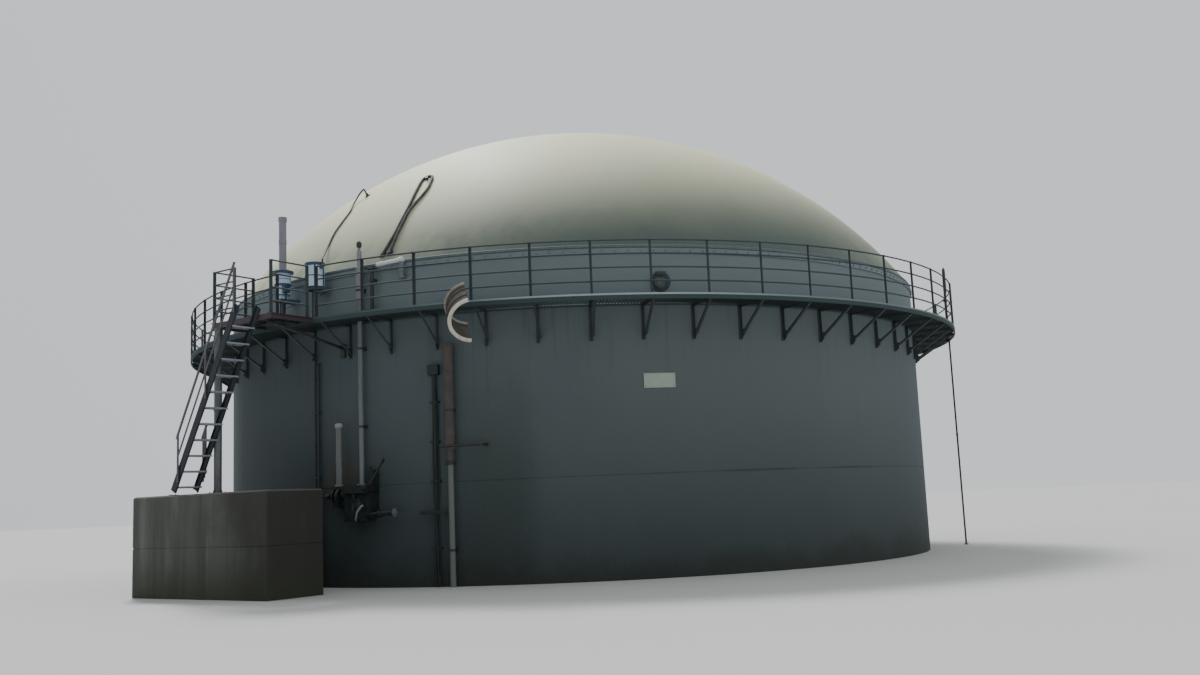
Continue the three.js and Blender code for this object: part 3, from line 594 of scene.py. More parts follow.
def show(name, shape, finishes, slot, *nodes, smooth=32.0, bevel=0.0):
    """Makes a piece from a shape and settles it."""
    piece = new_piece(name, shape, finishes, smooth)
    if bevel:
        edge = piece.modifiers.new("Edge", "BEVEL")
        edge.width, edge.segments, edge.limit_method = bevel, 2, "ANGLE"
    return settle(piece, slot, *nodes)


RING_INPUTS = {
    "Geometry": "NodeSocketGeometry",
    "Copies": "NodeSocketInt",
    "Radius": "NodeSocketFloat",
    "Height": "NodeSocketFloat",
    "First azimuth": "NodeSocketFloat",
    "Pitch": "NodeSocketFloat",
    "Finish": "NodeSocketMaterial",
}


def ring_tree():
    """Copies of the modifier's own mesh round the tank's axis, each turned to face outward."""
    group = bpy.data.node_groups.new("ring_of_copies", "GeometryNodeTree")
    group.is_modifier = True
    for name, kind in RING_INPUTS.items():
        group.interface.new_socket(name, in_out="INPUT", socket_type=kind)
    group.interface.new_socket("Geometry", in_out="OUTPUT", socket_type="NodeSocketGeometry")
    t = Tree(group)
    given = group.nodes.new("NodeGroupInput")
    value = {name: Field(t, given.outputs[name]) for name in RING_INPUTS}
    index = t.node("GeometryNodeInputIndex")
    turn = (value["First azimuth"] + value["Pitch"] * index) * (math.pi / 180)
    x = value["Radius"] * maths(t, "SINE", turn)
    y = value["Radius"] * maths(t, "COSINE", turn) * -1.0
    place = t.node("ShaderNodeCombineXYZ", sockets={0: x, 1: y, 2: value["Height"]})
    line = t.node("GeometryNodeMeshLine", sockets={"Count": value["Copies"]})
    line = t.node("GeometryNodeSetPosition", sockets={"Geometry": line, "Position": place})
    facing = t.node("ShaderNodeCombineXYZ", sockets={2: turn})
    sockets = {"Points": line, "Instance": value["Geometry"], "Rotation": facing}
    copies = t.node("GeometryNodeInstanceOnPoints", sockets=sockets)
    real = t.node("GeometryNodeRealizeInstances", sockets={0: copies})
    sockets = {"Geometry": real, "Material": value["Finish"]}
    finished = t.node("GeometryNodeSetMaterial", sockets=sockets)
    result = group.nodes.new("NodeGroupOutput")
    group.links.new(finished.socket, result.inputs[0])
    return group


def repeat(piece, copies, first, pitch, finish, radius=0.0, height=0.0):
    """Runs a piece's mesh through the tree of copies and keeps the result as a plain mesh."""
    modifier = piece.modifiers.new("Copies", "NODES")
    group = modifier.node_group = bpy.data.node_groups.get("ring_of_copies") or ring_tree()
    names = {item.name: item.identifier for item in group.interface.items_tree}
    values = {
        "Copies": copies, "Radius": radius, "Height": height, "First azimuth": first,
        "Pitch": pitch, "Finish": finish,
    }
    for key, value in values.items():
        modifier[names[key]] = value
    bpy.context.view_layer.update()
    seen = piece.evaluated_get(bpy.context.evaluated_depsgraph_get())
    made = bpy.data.meshes.new_from_object(seen)
    piece.modifiers.clear()
    piece.data = made
    return piece


def joined(name, pieces):
    """Several plain meshes as one piece."""
    whole = bmesh.new()
    finishes = []
    for piece in pieces:
        finishes += [finish for finish in piece.data.materials if finish not in finishes]
        order = [finishes.index(finish) for finish in piece.data.materials]
        copy = piece.data.copy()
        shown = [order[p.material_index] for p in copy.polygons]
        copy.polygons.foreach_set("material_index", shown)
        whole.from_mesh(copy)
        bpy.data.objects.remove(piece)
    mesh = bpy.data.meshes.new(name)
    whole.to_mesh(mesh)
    whole.free()
    for finish in finishes:
        mesh.materials.append(finish)
    return placed(name, mesh)


# Settings that a user would change


def tint(name, description, default):
    return FloatVectorProperty(
        name=name, description=description, subtype="COLOR", size=3, default=default
    )


def metres(name, description, default):
    return FloatProperty(name=name, description=description, default=default, unit="LENGTH")


class DigesterLooks(bpy.types.PropertyGroup):
    """Colours of the tank and its dome."""

    wall_colour: tint("Wall", "Slate coating of the wall", (0.066, 0.092, 0.103))
    # Faded patches of the coating, and the painted light that makes the wall lighter towards +X
    wall_faded: tint("Faded wall", "The coating where it has faded", (0.122, 0.151, 0.153))
    wall_streak: tint("Wall streaks", "Pale streaks left by rain", (0.115, 0.128, 0.124))
    # Painted light: the paler colour of the sunlit wall above the walkway
    sunlit_band_colour: tint(
        "Wall above walkway", "The paler wall under the rim", (0.188, 0.238, 0.257)
    )
    membrane_top: tint("Membrane", "Cream membrane at the top", (0.785, 0.795, 0.545))
    # Greener growth near the rim, and painted shade that darkens it
    membrane_low_green_and_shade: tint("Membrane at rim", "Greener membrane near the rim", (0.49, 0.52, 0.365))
    # Growth and dirt, and also the painted shade low on the side towards -Y and +X
    membrane_soil_and_shade: tint(
        "Membrane dirt", "Growth and dirt low on the shaded side", (0.070, 0.104, 0.091)
    )


class DigesterSizes(bpy.types.PropertyGroup):
    """Sizes of what the scene adds to the frame."""

    rim_bolts: IntProperty(name="Rim bolts", description="Bolts in the rim's clamp", default=216)
    dome_gores: IntProperty(name="Gores", description="Welded panels of the dome", default=27)
    gore_fullness: metres("Gore fullness", "How far a panel swells between its welds", 0.004)
    rail_tube: metres("Rail", "Diameter of the rails", 0.034)
    post_leg: metres("Post", "Leg of the posts' angle section", 0.05)
    grating_pitch: FloatProperty(
        name="Grating pitch", description="Spacing of the walkway's bearing bars, in degrees",
        default=0.4,
    )


# Pieces

# Points in x and y under the strap, whose strands lie closer together than in the solids
STRAP_LEFT = (
    (-4.060, -8.175), (-3.940, -7.995), (-3.838, -7.806), (-3.758, -7.594), (-3.676, -7.343),
    (-3.606, -7.092), (-3.546, -6.750), (-3.485, -6.389), (-3.435, -6.130),
)
STRAP_BEND = ((-3.405, -6.075), (-3.320, -6.040), (-3.228, -6.088))
STRAP_RIGHT = (
    (-3.190, -6.240), (-3.205, -6.480), (-3.240, -6.720), (-3.360, -6.975), (-3.520, -7.205),
    (-3.612, -7.375), (-3.694, -7.625), (-3.780, -7.860), (-3.895, -8.240),
)
STRAP_RADIUS = 0.034
STRAP_HOOK = (-3.312, -6.150)
HOSE_LUG = (-4.915, -4.997)

# Azimuth and radius of each relief drum, and side and height of the hose's outlet
LEFT_DRUM, RIGHT_DRUM = (-42.35, 0.235), (-35.85, 0.205)
DRUM_OUTLET = (0.242, 6.880)


def drum_line(radius):
    """Distance along Y of a relief drum's own axis."""
    return -(WALL_RADIUS + 0.045 + 0.06 + radius)


def dome_boss(place, profile, sides, count, reach, rise, size):
    """A turned boss on the dome, with a circle of bolts on its foot."""
    boss = Shape()
    foot, up = dome_point(*place), dome_normal(*place)
    boss.turned(profile, foot, up, sides)
    level = up.cross(Vector(UP)).normalized()
    boss.bolt_circle(foot + up * rise, up, reach, size, count, 0.0, level)
    return boss


class DIGESTER_OT_dome_cords(bpy.types.Operator):
    """Strap and hose that lie on the dome, and what they are fixed to"""

    bl_idname = "digester.dome_cords"
    bl_label = "Strap and hose"

    def execute(self, context):
        dark = steel_paint("fixing_paint", (0.026, 0.033, 0.036), (0.10, 0.06, 0.035), 0.45)
        black = rubber()

        hook = dome_boss(
            STRAP_HOOK,
            [(0.056, -0.004), (0.058, 0.004), (0.052, 0.010), (0.026, 0.014), (0.022, 0.024),
             (0.022, 0.052), (0.034, 0.058), (0.036, 0.066), (0.030, 0.073), (0.010, 0.075)],
            24, 6, 0.041, 0.008, 0.008,
        )
        show("strap_bollard", hook, [dark], "dark_steel", "strap_hook")

        lie = STRAP_RADIUS - 0.008
        route = [dome_point(*p, lie) for p in (*STRAP_LEFT, *STRAP_BEND, *STRAP_RIGHT)]
        line = smooth_line(route, 5)
        strap = Shape()
        strap.tube(line, STRAP_RADIUS - 0.001, 16)
        made = show("strap_on_dome", strap, [black], "black_rubber", "dome_strap", smooth=60)
        clips = Shape()
        for end, inward in ((route[0], route[1]), (route[-1], route[-2])):
            way = (inward - end).normalized()
            rise = dome_normal(end.x, end.y)
            side = way.cross(rise).normalized()
            foot = end - rise * (lie - 0.001)
            clips.bar(foot - way * 0.05, foot + way * 0.09, 0.13, 0.010, rise)
            clips.turned(collar(0.041, -0.012, 0.054, 0.004), end, way, 20)
            clips.turned([(0.036, -0.03), (0.039, -0.026), (0.039, -0.010)], end, way, 20)
            seat = foot + way * 0.02 + rise * 0.005
            clips.bolts([seat - side * 0.052, seat + side * 0.052], rise, 0.010)
        ties = show("strap_clips", clips, [dark], "dark_steel")
        line_length(line)

        lug = dome_boss(
            HOSE_LUG,
            [(0.072, -0.004), (0.075, 0.002), (0.075, 0.010), (0.071, 0.014), (0.040, 0.018),
             (0.034, 0.022), (0.034, 0.050), (0.038, 0.053), (0.038, 0.066), (0.034, 0.070)],
            28, 8, 0.056, 0.012, 0.009,
        )
        nipple = show("hose_nipple", lug, [dark], "dark_steel", "hose_lug")

        foot, up = dome_point(*HOSE_LUG), dome_normal(*HOSE_LUG)
        azimuth, radius = RIGHT_DRUM
        turn = Matrix.Rotation(math.radians(azimuth), 3, "Z")
        outlet = turn @ Vector((DRUM_OUTLET[0], drum_line(radius), DRUM_OUTLET[1] + 0.0003))
        on_dome = (
            (-5.515, -7.180, 0.130), (-5.525, -6.656, 0.026), (-5.461, -6.273, 0.024),
            (-5.332, -5.923, 0.024), (-5.238, -5.610, 0.028), (-5.224, -5.250, 0.045),
        )
        arch = ((-5.170, -5.000, 9.140), (-5.095, -4.930, 9.292), (-5.022, -4.935, 9.358))
        route = [
            outlet, outlet + Vector((0, 0, 0.11)), *[dome_point(*p) for p in on_dome],
            *[Vector(p) for p in arch], foot + up * 0.1353, foot + up * 0.0703,
        ]
        line = smooth_line(route, 7)
        hose = Shape()
        hose.tube(line, 0.0195, 16)
        made = show("hose_on_dome", hose, [black], "black_rubber", "dome_hose", smooth=60)
        bands = Shape()
        ends = ((outlet + Vector((0, 0, 0.012)), Vector(UP)), (foot + up * 0.078, up))
        for place, way in ends:
            bands.turned(collar(0.024, 0, 0.016, 0.0035, 0.002), place, way, 20)
            side = way.orthogonal().normalized()
            bands.bolt(place + way * 0.008 + side * 0.023, side, 0.007)
        bright = zinc("band_zinc", (0.30, 0.32, 0.33), 0.4, 0.3)
        clamps = show("hose_clamps", bands, [bright], "galvanised")
        line_length(line)
        return {"FINISHED"}


class DIGESTER_OT_tank(bpy.types.Operator):
    """Wall of the tank, with its pour joint, and the finish of its floor"""

    bl_idname = "digester.tank"
    bl_label = "Tank"

    def execute(self, context):
        wall = Shape()
        chamfer = 0.012
        profile = [(WALL_INSIDE, 0), (WALL_RADIUS - 0.006, 0), (WALL_RADIUS, 0.006)]
        for height, sunk in ((-0.010, 0.0), (-0.003, 0.007), (0.003, 0.007), (0.010, 0.0)):
            profile.append((WALL_RADIUS - sunk, POUR_JOINT + height))
        profile += [
            (WALL_RADIUS, WALL_TOP - chamfer), (WALL_RADIUS - chamfer, WALL_TOP),
            (WALL_INSIDE + chamfer, WALL_TOP), (WALL_INSIDE, WALL_TOP - chamfer),
        ]
        wall.ring(profile, 324)
        coat = slate_wall(context.scene.digester_looks)
        show("tank_shell", wall, [coat], "wall_coating", *[f"tank_wall_{i}" for i in SECTORS])
        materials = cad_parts["tank_floor"].data.materials
        materials.clear()
        materials.append(floor_concrete())
        return {"FINISHED"}


def dome_skin(gores, fullness, rows=44, thin=0.003):
    """The dome's skin, whose panels swell a little between their welds."""
    count = gores * 8
    centre = Vector((0, 0, DOME_CENTRE))
    outer = [Vector((0, 0, DOME_CENTRE + DOME_SPHERE))]
    for i in range(1, rows + 1):
        a = DOME_HALF_ANGLE * i / rows
        full = fullness * math.sin(math.pi * min(1.0, 1.15 * i / rows)) ** 0.5
        for k in range(count):
            swell = full * abs(math.sin(math.pi * gores * k / count))
            r = (DOME_SPHERE - 0.002 + swell) * math.sin(a)
            outer.append(polar(360 * k / count, r, DOME_CENTRE + DOME_SPHERE * math.cos(a)))
    inner = [p - (p - centre).normalized() * thin for p in outer]
    inner = [Vector((p.x, p.y, max(p.z, WALL_TOP + 0.001))) for p in inner]
    pairs = [(k, (k + 1) % count) for k in range(count)]
    faces = [[0, 1 + k, 1 + n] for k, n in pairs]
    for i in range(rows - 1):
        a, b = 1 + i * count, 1 + (i + 1) * count
        faces += [[a + k, b + k, b + n, a + n] for k, n in pairs]
    size, last = len(outer), 1 + (rows - 1) * count
    faces += [[size + i for i in face[::-1]] for face in faces]
    faces += [[last + k, size + last + k, size + last + n, last + n] for k, n in pairs]
    skin = Shape()
    skin.add(outer + inner, faces)
    return skin


class DIGESTER_OT_dome(bpy.types.Operator):
    """Membrane dome, its hem and the bolted clamp round the rim"""

    bl_idname = "digester.dome"
    bl_label = "Dome and clamp"

    def execute(self, context):
        sizes = context.scene.digester_sizes
        skin = dome_skin(sizes.dome_gores, sizes.gore_fullness)
        cover = membrane(context.scene.digester_looks)
        piece = show("dome_membrane", skin, [cover], "membrane", "membrane_dome", smooth=60)

        steel = steel_paint(
            "clamp_paint", (0.115, 0.150, 0.162), (0.085, 0.075, 0.06), 0.45, 0.6, 0.1
        )
        flap = plastic("hem", (0.125, 0.165, 0.172), (0.07, 0.085, 0.08), 0.5, 0.65)
        rim = Shape()
        hem, bar = 9.262, 9.274
        rim.ring([
            (9.2505, 6.60), (9.258, 6.60), (hem, 6.76), (hem, 6.785), (9.235, 6.80),
            (9.2, 6.80), (9.2, 6.772), (9.2505, 6.772),
        ])
        rim.finish = 1
        rim.ring([(hem, 6.61), (bar, 6.606), (bar, 6.714), (hem, 6.71)])
        rim.finish = 0
        rim.ring([(hem + 0.016 * c, 6.745 + 0.016 * s) for c, s in around(10)])
        band = new_piece("rim_band", rim, [flap, steel], 40)
        head = Shape()
        head.bolt((0, 0, 0), OUT, 0.022)
        bolts = new_piece("rim_bolts_new", head, [steel])
        pitch = 360 / sizes.rim_bolts
        repeat(bolts, sizes.rim_bolts, 0.5, pitch, steel, radius=bar, height=6.66)
        clamps = [f"membrane_clamp_{i}" for i in range(1, 4)]
        settle(joined("rim_clamp", [band, bolts]), "clamp_steel", *clamps)
        return {"FINISHED"}


class DIGESTER_OT_walkway(bpy.types.Operator):
    """Grating, edge plate and wall brackets of the ring walkway"""

    bl_idname = "digester.walkway"
    bl_label = "Walkway"

    def execute(self, context):
        pitch = context.scene.digester_sizes.grating_pitch
        grid = zinc("grating_zinc", (0.055, 0.072, 0.073), 0.25, 0.1)
        dark = steel_paint(
            "dark_paint", (0.026, 0.035, 0.039), (0.08, 0.05, 0.035), 0.3, 0.65, 0.2
        )

        deck = Shape()
        low = GRATING_LOW
        first_tie, tie_spacing, segments = 9.33, 0.108, 270
        for k in range(9):
            r = first_tie + k * tie_spacing
            deck.ring(oblong(r, low + 0.012, r + 0.008, low + 0.020), segments)
        ties = new_piece("grating_ties", deck, [grid])
        slat = Shape()
        slat.block((-0.0025, -10.255, low), (0.0025, FACE - 0.01, DECK_TOP - 0.003))
        slats = new_piece("grating_bars", slat, [grid])
        repeat(slats, round(360 / pitch), 0.0, pitch, grid)
        walkways = [f"walkway_{i}" for i in SECTORS]
        settle(joined("walkway_grating", [ties, slats]), "dark_steel", *walkways)

        rim = Shape()
        inside, outside, foot, lip = 10.258, 10.298, DECK_TOP - 0.11, DECK_TOP + 0.012
        rim.ring([
            (inside, foot), (outside, foot), (outside, lip), (outside - 0.008, lip),
            (outside - 0.008, foot + 0.008), (inside, foot + 0.008),
        ], segments)
        rim.ring(oblong(9.256, low - 0.03, 9.264, DECK_TOP), segments)
        show("walkway_edge", rim, [edge_paint()], "dark_steel")

        arm = Shape()
        foot, under = BRACKET_FOOT, low - 0.002
        corner = (0.030, FACE - 0.002, under)
        arm.angle((0.030, FACE - 0.002, foot), corner, 0.060, 0.008, OUT, -1)
        arm.angle(corner, (0.030, -10.285, under), 0.060, 0.008, (0, 0, -1), -1)
        brace = (0.024, FACE - 0.05, foot + 0.08), (0.024, -10.20, under - 0.05)
        arm.angle(*brace, 0.048, 0.007, UP, -1)
        arm.block((-0.036, FACE - 0.012, foot - 0.02), (0.036, FACE - 0.0005, foot + 0.11))
        arm.block((0.017, FACE - 0.11, foot + 0.04), (0.024, FACE - 0.01, foot + 0.20))
        levels = (foot + 0.005, foot + 0.090, under - 0.12, under - 0.04)
        arm.bolts([(-0.006, FACE - 0.012, z) for z in levels], OUT, 0.014)
        arms = new_piece("walkway_brackets", arm, [dark])
        settle(repeat(arms, BAYS, FIRST_BRACKET, PITCH, dark), "dark_steel")
        return {"FINISHED"}


class DIGESTER_OT_railing(bpy.types.Operator):
    """Posts and rails round the walkway, open at the landing"""

    bl_idname = "digester.railing"
    bl_label = "Railing"

    def execute(self, context):
        sizes = context.scene.digester_sizes
        dark = steel_paint(
            "rail_paint", (0.030, 0.041, 0.046), (0.09, 0.06, 0.045), 0.25, 0.75, 0.1
        )
        first = FIRST_BRACKET - 5 * PITCH
        post = Shape()
        leg = sizes.post_leg
        post.angle((-leg / 2, 0.020, 0.0), (-leg / 2, 0.020, RAIL_HEIGHT), leg, 0.006, OUT)
        post.block((-0.055, -0.028, 0.0), (0.055, 0.055, 0.010))
        post.bolts([(x, 0.038, 0.010) for x in (-0.035, 0.038)], UP, 0.010)
        posts = new_piece("railing_posts", post, [dark])
        repeat(posts, BAYS, first, PITCH, dark, RAIL_LINE, DECK_TOP)
        rails = Shape()
        turns = [first + k * PITCH / 2 for k in range(2 * (BAYS - 1) + 1)]
        for level in RAIL_LEVELS:
            rails.tube([polar(a, RAIL_LINE, level) for a in turns], sizes.rail_tube / 2, 10)
        whole = joined("ring_railing", [posts, new_piece("railing_rails", rails, [dark])])
        sections = [f"railing_{i}" for i in (1, 2, 3, 4, 5, "6a", "6b")]
        settle(whole, "dark_steel", *sections)
        return {"FINISHED"}


# Access: landing, stair and block

LANDING_AZIMUTH = -36.0
LANDING_LEFT, LANDING_RIGHT = -1.10, 0.76
LANDING_EDGE = DECK_RADIUS + 1.05
LANDING_LOW = DECK_TOP - 0.11
STAIR_WIDTH = 0.56
STAIR_MIDDLE = -(LANDING_EDGE + 0.0006 + STAIR_WIDTH / 2)
STAIR_TREADS = 11


def stair_point(step, y, up=0.0):
    """Where a step of the flight lies: 0.2 is level with the landing."""
    return Vector((0.35 - 0.168 * step, y, DECK_TOP + 0.311 * (0.2 - step) + up))


def rail_post(shape, x, y):
    """An angle post of the landing on its bolted foot plate."""
    foot = (x - 0.025, y + 0.02, DECK_TOP)
    shape.angle(foot, (x - 0.025, y + 0.02, DECK_TOP + RAIL_HEIGHT), 0.05, 0.006, OUT)
    shape.block((x - 0.05, y - 0.05, DECK_TOP), (x + 0.05, y + 0.05, DECK_TOP + 0.01))
    shape.bolts([(x + a, y + 0.034, DECK_TOP + 0.01) for a in (-0.034, 0.036)], UP, 0.009)


class DIGESTER_OT_landing(bpy.types.Operator):
    """Landing beside the walkway, with its post, strut and railings"""

    bl_idname = "digester.landing"
    bl_label = "Landing"

    def execute(self, context):
        dark = steel_paint("landing_paint", (0.020, 0.024, 0.026), (0.10, 0.05, 0.035), 0.4)
        oxide = steel_paint("red_oxide", (0.050, 0.030, 0.036), (0.075, 0.045, 0.042), 0.4)
        plate = steel_paint("deck_plate", (0.05, 0.052, 0.05), (0.10, 0.06, 0.04), 0.5)
        left, right, outer, inner = LANDING_LEFT, LANDING_RIGHT, -LANDING_EDGE, -10.305
        low = LANDING_LOW
        deck = Shape(LANDING_AZIMUTH)
        deck.finish = 2
        corner = (right - 0.004, inner + 0.02, DECK_TOP)
        deck.block((left + 0.004, outer + 0.004, DECK_TOP - 0.006), corner)
        deck.finish = 1
        channel = [
            (0, 0), (0.05, 0), (0.05, 0.008), (0.008, 0.008), (0.008, 0.096), (0.05, 0.096),
            (0.05, 0.104), (0, 0.104),
        ]
        facing_left = [(-s, t) for s, t in channel]
        deck.run(channel, (left, inner, low), (left, outer, low))
        deck.run(facing_left, (right, inner, low), (right, outer, low))
        deck.run(facing_left, (left, outer, low), (right, outer, low))
        deck.finish = 0
        for x in (-0.70, -0.08, 0.36):
            deck.angle((x, inner, low + 0.03), (x, outer + 0.01, low + 0.03), 0.07, 0.007)
        for y in (outer + 0.35, outer + 0.70):
            deck.angle((left + 0.01, y, low + 0.05), (right - 0.01, y, low + 0.05), 0.05, 0.006)
        show("landing_platform", deck, [dark, oxide, plate], "dark_steel", "landing_deck")

        slate = steel_paint(
            "landing_rail_paint", (0.046, 0.060, 0.069), (0.07, 0.062, 0.055), 0.25, 0.7, 0.1
        )
        rails = Shape(LANDING_AZIMUTH)
        rx, lx, oy = right - 0.033, left + 0.033, outer + 0.033
        for run in ([(rx, -10.386), (rx, oy)], [(lx, -10.326), (lx, oy), (-0.42, oy)]):
            for x, y in run:
                rail_post(rails, x, y)
            for level in RAIL_LEVELS:
                for a, b in zip(run, run[1:]):
                    rails.tube([(*a, level), (*b, level)], 0.017, 10)
        nodes = ("landing_railing_right", "landing_railing_left")
        show("landing_rails", rails, [slate], "dark_steel", *nodes)

        pale = zinc("post_zinc", (0.16, 0.175, 0.185), 0.6, 0.2)
        x, y = left + 0.085, outer + 0.085
        post = Shape(LANDING_AZIMUTH, (x, y, 0), 28)
        foot, head = BLOCK_TOP + 0.022, low - 0.02
        post.turned([(0.08, foot), (0.08, head)])
        post.turned(collar(0.092, 3.74, 3.805, 0.004, 0.005))
        post.block((x - 0.15, y - 0.13, BLOCK_TOP), (x + 0.15, y + 0.13, foot))
        post.block((x - 0.085, y - 0.085, head), (x + 0.085, y + 0.085, low))
        for way in ((1, 0), (-1, 0), (0, 1), (0, -1)):
            way, side = Vector((*way, 0)), Vector((-way[1], way[0], 0)) * 0.004
            near, far = Vector((x, y, foot)) + way * 0.07, Vector((x, y, foot)) + way * 0.125
            rib = (near, far, near + Vector((0, 0, 0.118)))
            post.loft([[corner + s for corner in rib] for s in (side, -side)])
        post.bolts(product((x - 0.12, x + 0.12), (y - 0.10, y + 0.10), (foot,)), UP, 0.016)
        show("landing_support", post, [pale], "galvanised", "landing_post")

        rust = steel_paint(
            "strut_paint", (0.030, 0.033, 0.035), (0.062, 0.043, 0.035), 0.6, 0.65, 0.15
        )
        strut = Shape(LANDING_AZIMUTH)
        x = right - 0.20
        wall = -math.sqrt(WALL_RADIUS**2 - x * x)
        strut.angle((x, wall - 0.01, 5.0), (x, outer + 0.09, low - 0.06), 0.07, 0.008, (1, 0, 0))
        head = low - 0.075
        strut.angle((x, outer + 0.06, head), (x, outer + 0.22, head), 0.07, 0.008)
        strut.block((x - 0.006, outer + 0.06, low - 0.10), (x + 0.006, outer + 0.20, low))
        strut.block((x - 0.06, wall - 0.05, 4.84), (x + 0.06, wall + 0.015, 5.13))
        strut.bolts(product((x - 0.035, x + 0.045), (wall - 0.05,), (4.88, 5.09)), OUT, 0.013)
        show("landing_brace", strut, [rust], "rusty_steel", "landing_strut")
        return {"FINISHED"}


class DIGESTER_OT_stair(bpy.types.Operator):
    """Steep stair, its handrails and the concrete block that it stands on"""

    bl_idname = "digester.stair"
    bl_label = "Stair and block"

    def execute(self, context):
        dark = steel_paint(
            "stringer_paint", (0.018, 0.022, 0.029), (0.050, 0.038, 0.034), 0.3, 0.65, 0.1
        )
        pale = plastic("tread_paint", (0.30, 0.33, 0.39), (0.12, 0.12, 0.13), 0.4, 0.55)
        flight = Shape(LANDING_AZIMUTH)
        half = STAIR_WIDTH / 2
        web = [
            (0.0, -0.075), (0.0, 0.075), (0.04, 0.075), (0.04, 0.068), (0.007, 0.068),
            (0.007, -0.068), (0.04, -0.068), (0.04, -0.075),
        ]
        for side in (-1, 1):
            y = STAIR_MIDDLE + side * half
            low, high = stair_point(STAIR_TREADS + 0.62, y, 0.10), stair_point(-0.30, y)
            flight.run([(s * side, t) for s, t in web], low, high)
            foot = Vector((low.x - 0.02, y - side * 0.03, BLOCK_TOP))
            flight.block(foot - Vector((0.10, 0.05, 0)), foot + Vector((0.10, 0.05, 0.012)))
            flight.bolts([foot + Vector((dx, 0, 0.012)) for dx in (-0.07, 0.07)], UP, 0.012)
        flight.finish = 1
        tread = [
            (-0.095, -0.035), (-0.090, -0.035), (-0.090, -0.004), (0.090, -0.004),
            (0.090, -0.035), (0.095, -0.035), (0.095, 0.0), (-0.095, 0.0),
        ]
        reach = Vector((0, half - 0.008, 0))
        for step in range(1, STAIR_TREADS + 1):
            p = stair_point(step, STAIR_MIDDLE)
            flight.run(tread, p - reach, p + reach)
            y0, y1 = p.y - half + 0.03, p.y + half - 0.03
            for k in range(5):
                x = p.x - 0.07 + 0.035 * k
                flight.block((x - 0.004, y0, p.z), (x + 0.004, y1, p.z + 0.003))
        show("stair_steps", flight, [dark, pale], "galvanised", "stair_flight")

        worn = zinc("handrail_zinc", (0.15, 0.16, 0.18), 0.5, 0.15)
        rails = Shape(LANDING_AZIMUTH)
        end = 10.5
        for side, start in ((-1, 0), (1, 10)):
            y = STAIR_MIDDLE + side * (half + 0.0213)
            for step in (start, (start + end) / 2, end):
                rails.tube([stair_point(step, y, -0.07), stair_point(step, y, 0.89)], 0.021)
                rails.bolt(stair_point(step, y + 0.02 * side, -0.02), (0, side, 0), 0.010)
            steps = ((start - 0.2, 0.86), (start - 0.15, 0.9), (end + 0.15, 0.9), (end + 0.2, 0.86))
            rails.tube([stair_point(step, y, up) for step, up in steps], 0.024)
            rails.tube([stair_point(start, y, 0.45), stair_point(end, y, 0.45)], 0.018)
        nodes = ("stair_handrail_outer", "stair_handrail_inner")
        show("stair_rails", rails, [worn], "galvanised", *nodes)

        block = Shape(LANDING_AZIMUTH)
        x0, x1 = -2.75, 1.50
        y0, y1 = -LANDING_EDGE - 0.70, -LANDING_EDGE + 0.65
        levels = (
            (0.0, 0.0), (0.0, 0.98), (0.012, 0.992), (0.012, 1.004), (0.0, 1.016),
            (0.0, BLOCK_TOP - 0.03), (0.03, BLOCK_TOP),
        )
        block.loft([
            [(x, y, z) for x, y in oblong(x0 + inset, y0 + inset, x1 - inset, y1 - inset)]
            for inset, z in levels
        ])
        show("stair_plinth", block, [board_concrete()], "concrete", "stair_block", bevel=0.012)
        return {"FINISHED"}


# Fittings: each is made facing azimuth 0 and turned to its place, at these azimuths

PORT_AT, SIGN_AT, VENT_AT, POST_AT = 11.2, 10.5, -29, -26.9
VALVE_AT, STUB_AT, CONDUITS_AT, TRUNK_AT = -30.3, -32.2, -37.5, -18.4
RISER_AT, ROD_AT = -16.2, 84


class DIGESTER_OT_port_and_sign(bpy.types.Operator):
    """Round port under the rim, and the bare sign plate"""

    bl_idname = "digester.port_and_sign"
    bl_label = "Port and sign"

    def execute(self, context):
        black = steel_paint(
            "port_paint", (0.024, 0.038, 0.045), (0.036, 0.042, 0.044), 0.3, 0.6, 0.1
        )
        port = Shape(PORT_AT)
        seat = (0, FACE + 0.005, 6.0)
        port.turned([
            (0.21, 0), (0.21, 0.055), (0.165, 0.06), (0.165, 0.088), (0.158, 0.095),
            (0.125, 0.095), (0.118, 0.085), (0.118, 0.02),
        ], seat, OUT, 36)
        port.bolt_circle((0, FACE - 0.053, 6.0), OUT, 0.187, 0.012, 12)
        sides = ((-0.03, FACE - 0.11, 6.16), (-0.03, FACE - 0.13, 6.10))
        loop = [*sides, *[(-x, y, z) for x, y, z in sides[::-1]]]
        port.tube(loop, 0.008, 8)
        port.block((-0.10, FACE - 0.11, 6.13), (0.10, FACE - 0.05, 6.20))
        port.finish = 1
        port.turned([(0.118, 0.05), (0.118, 0.078), (0.06, 0.086), (0.012, 0.088)], seat, OUT, 36)
        finishes = [black, dark_glass()]
        show("wall_port", port, finishes, "port_glass", "round_port", smooth=40)

        sign = Shape(SIGN_AT)
        front, sheet = FACE - 0.014, FACE - 0.011
        steps = ((0, SUNK), (0, FACE - 0.012), (0.004, front), (0.016, front), (0.02, sheet))
        sign.loft([
            [(x, y, z) for x, z in oblong(-0.33 + inset, 3.81 + inset, 0.33 - inset, 4.11 - inset)]
            for inset, y in steps
        ])
        sign.finish = 1
        sign.bolts(product((-0.295, 0.295), (sheet,), (3.845, 4.075)), OUT, 0.009)
        finishes = [sign_enamel(), zinc("screw_zinc", (0.2, 0.2, 0.19), 0.6, 0.6)]
        show("sign_board", sign, finishes, "sign_enamel", "sign_plate")
        return {"FINISHED"}


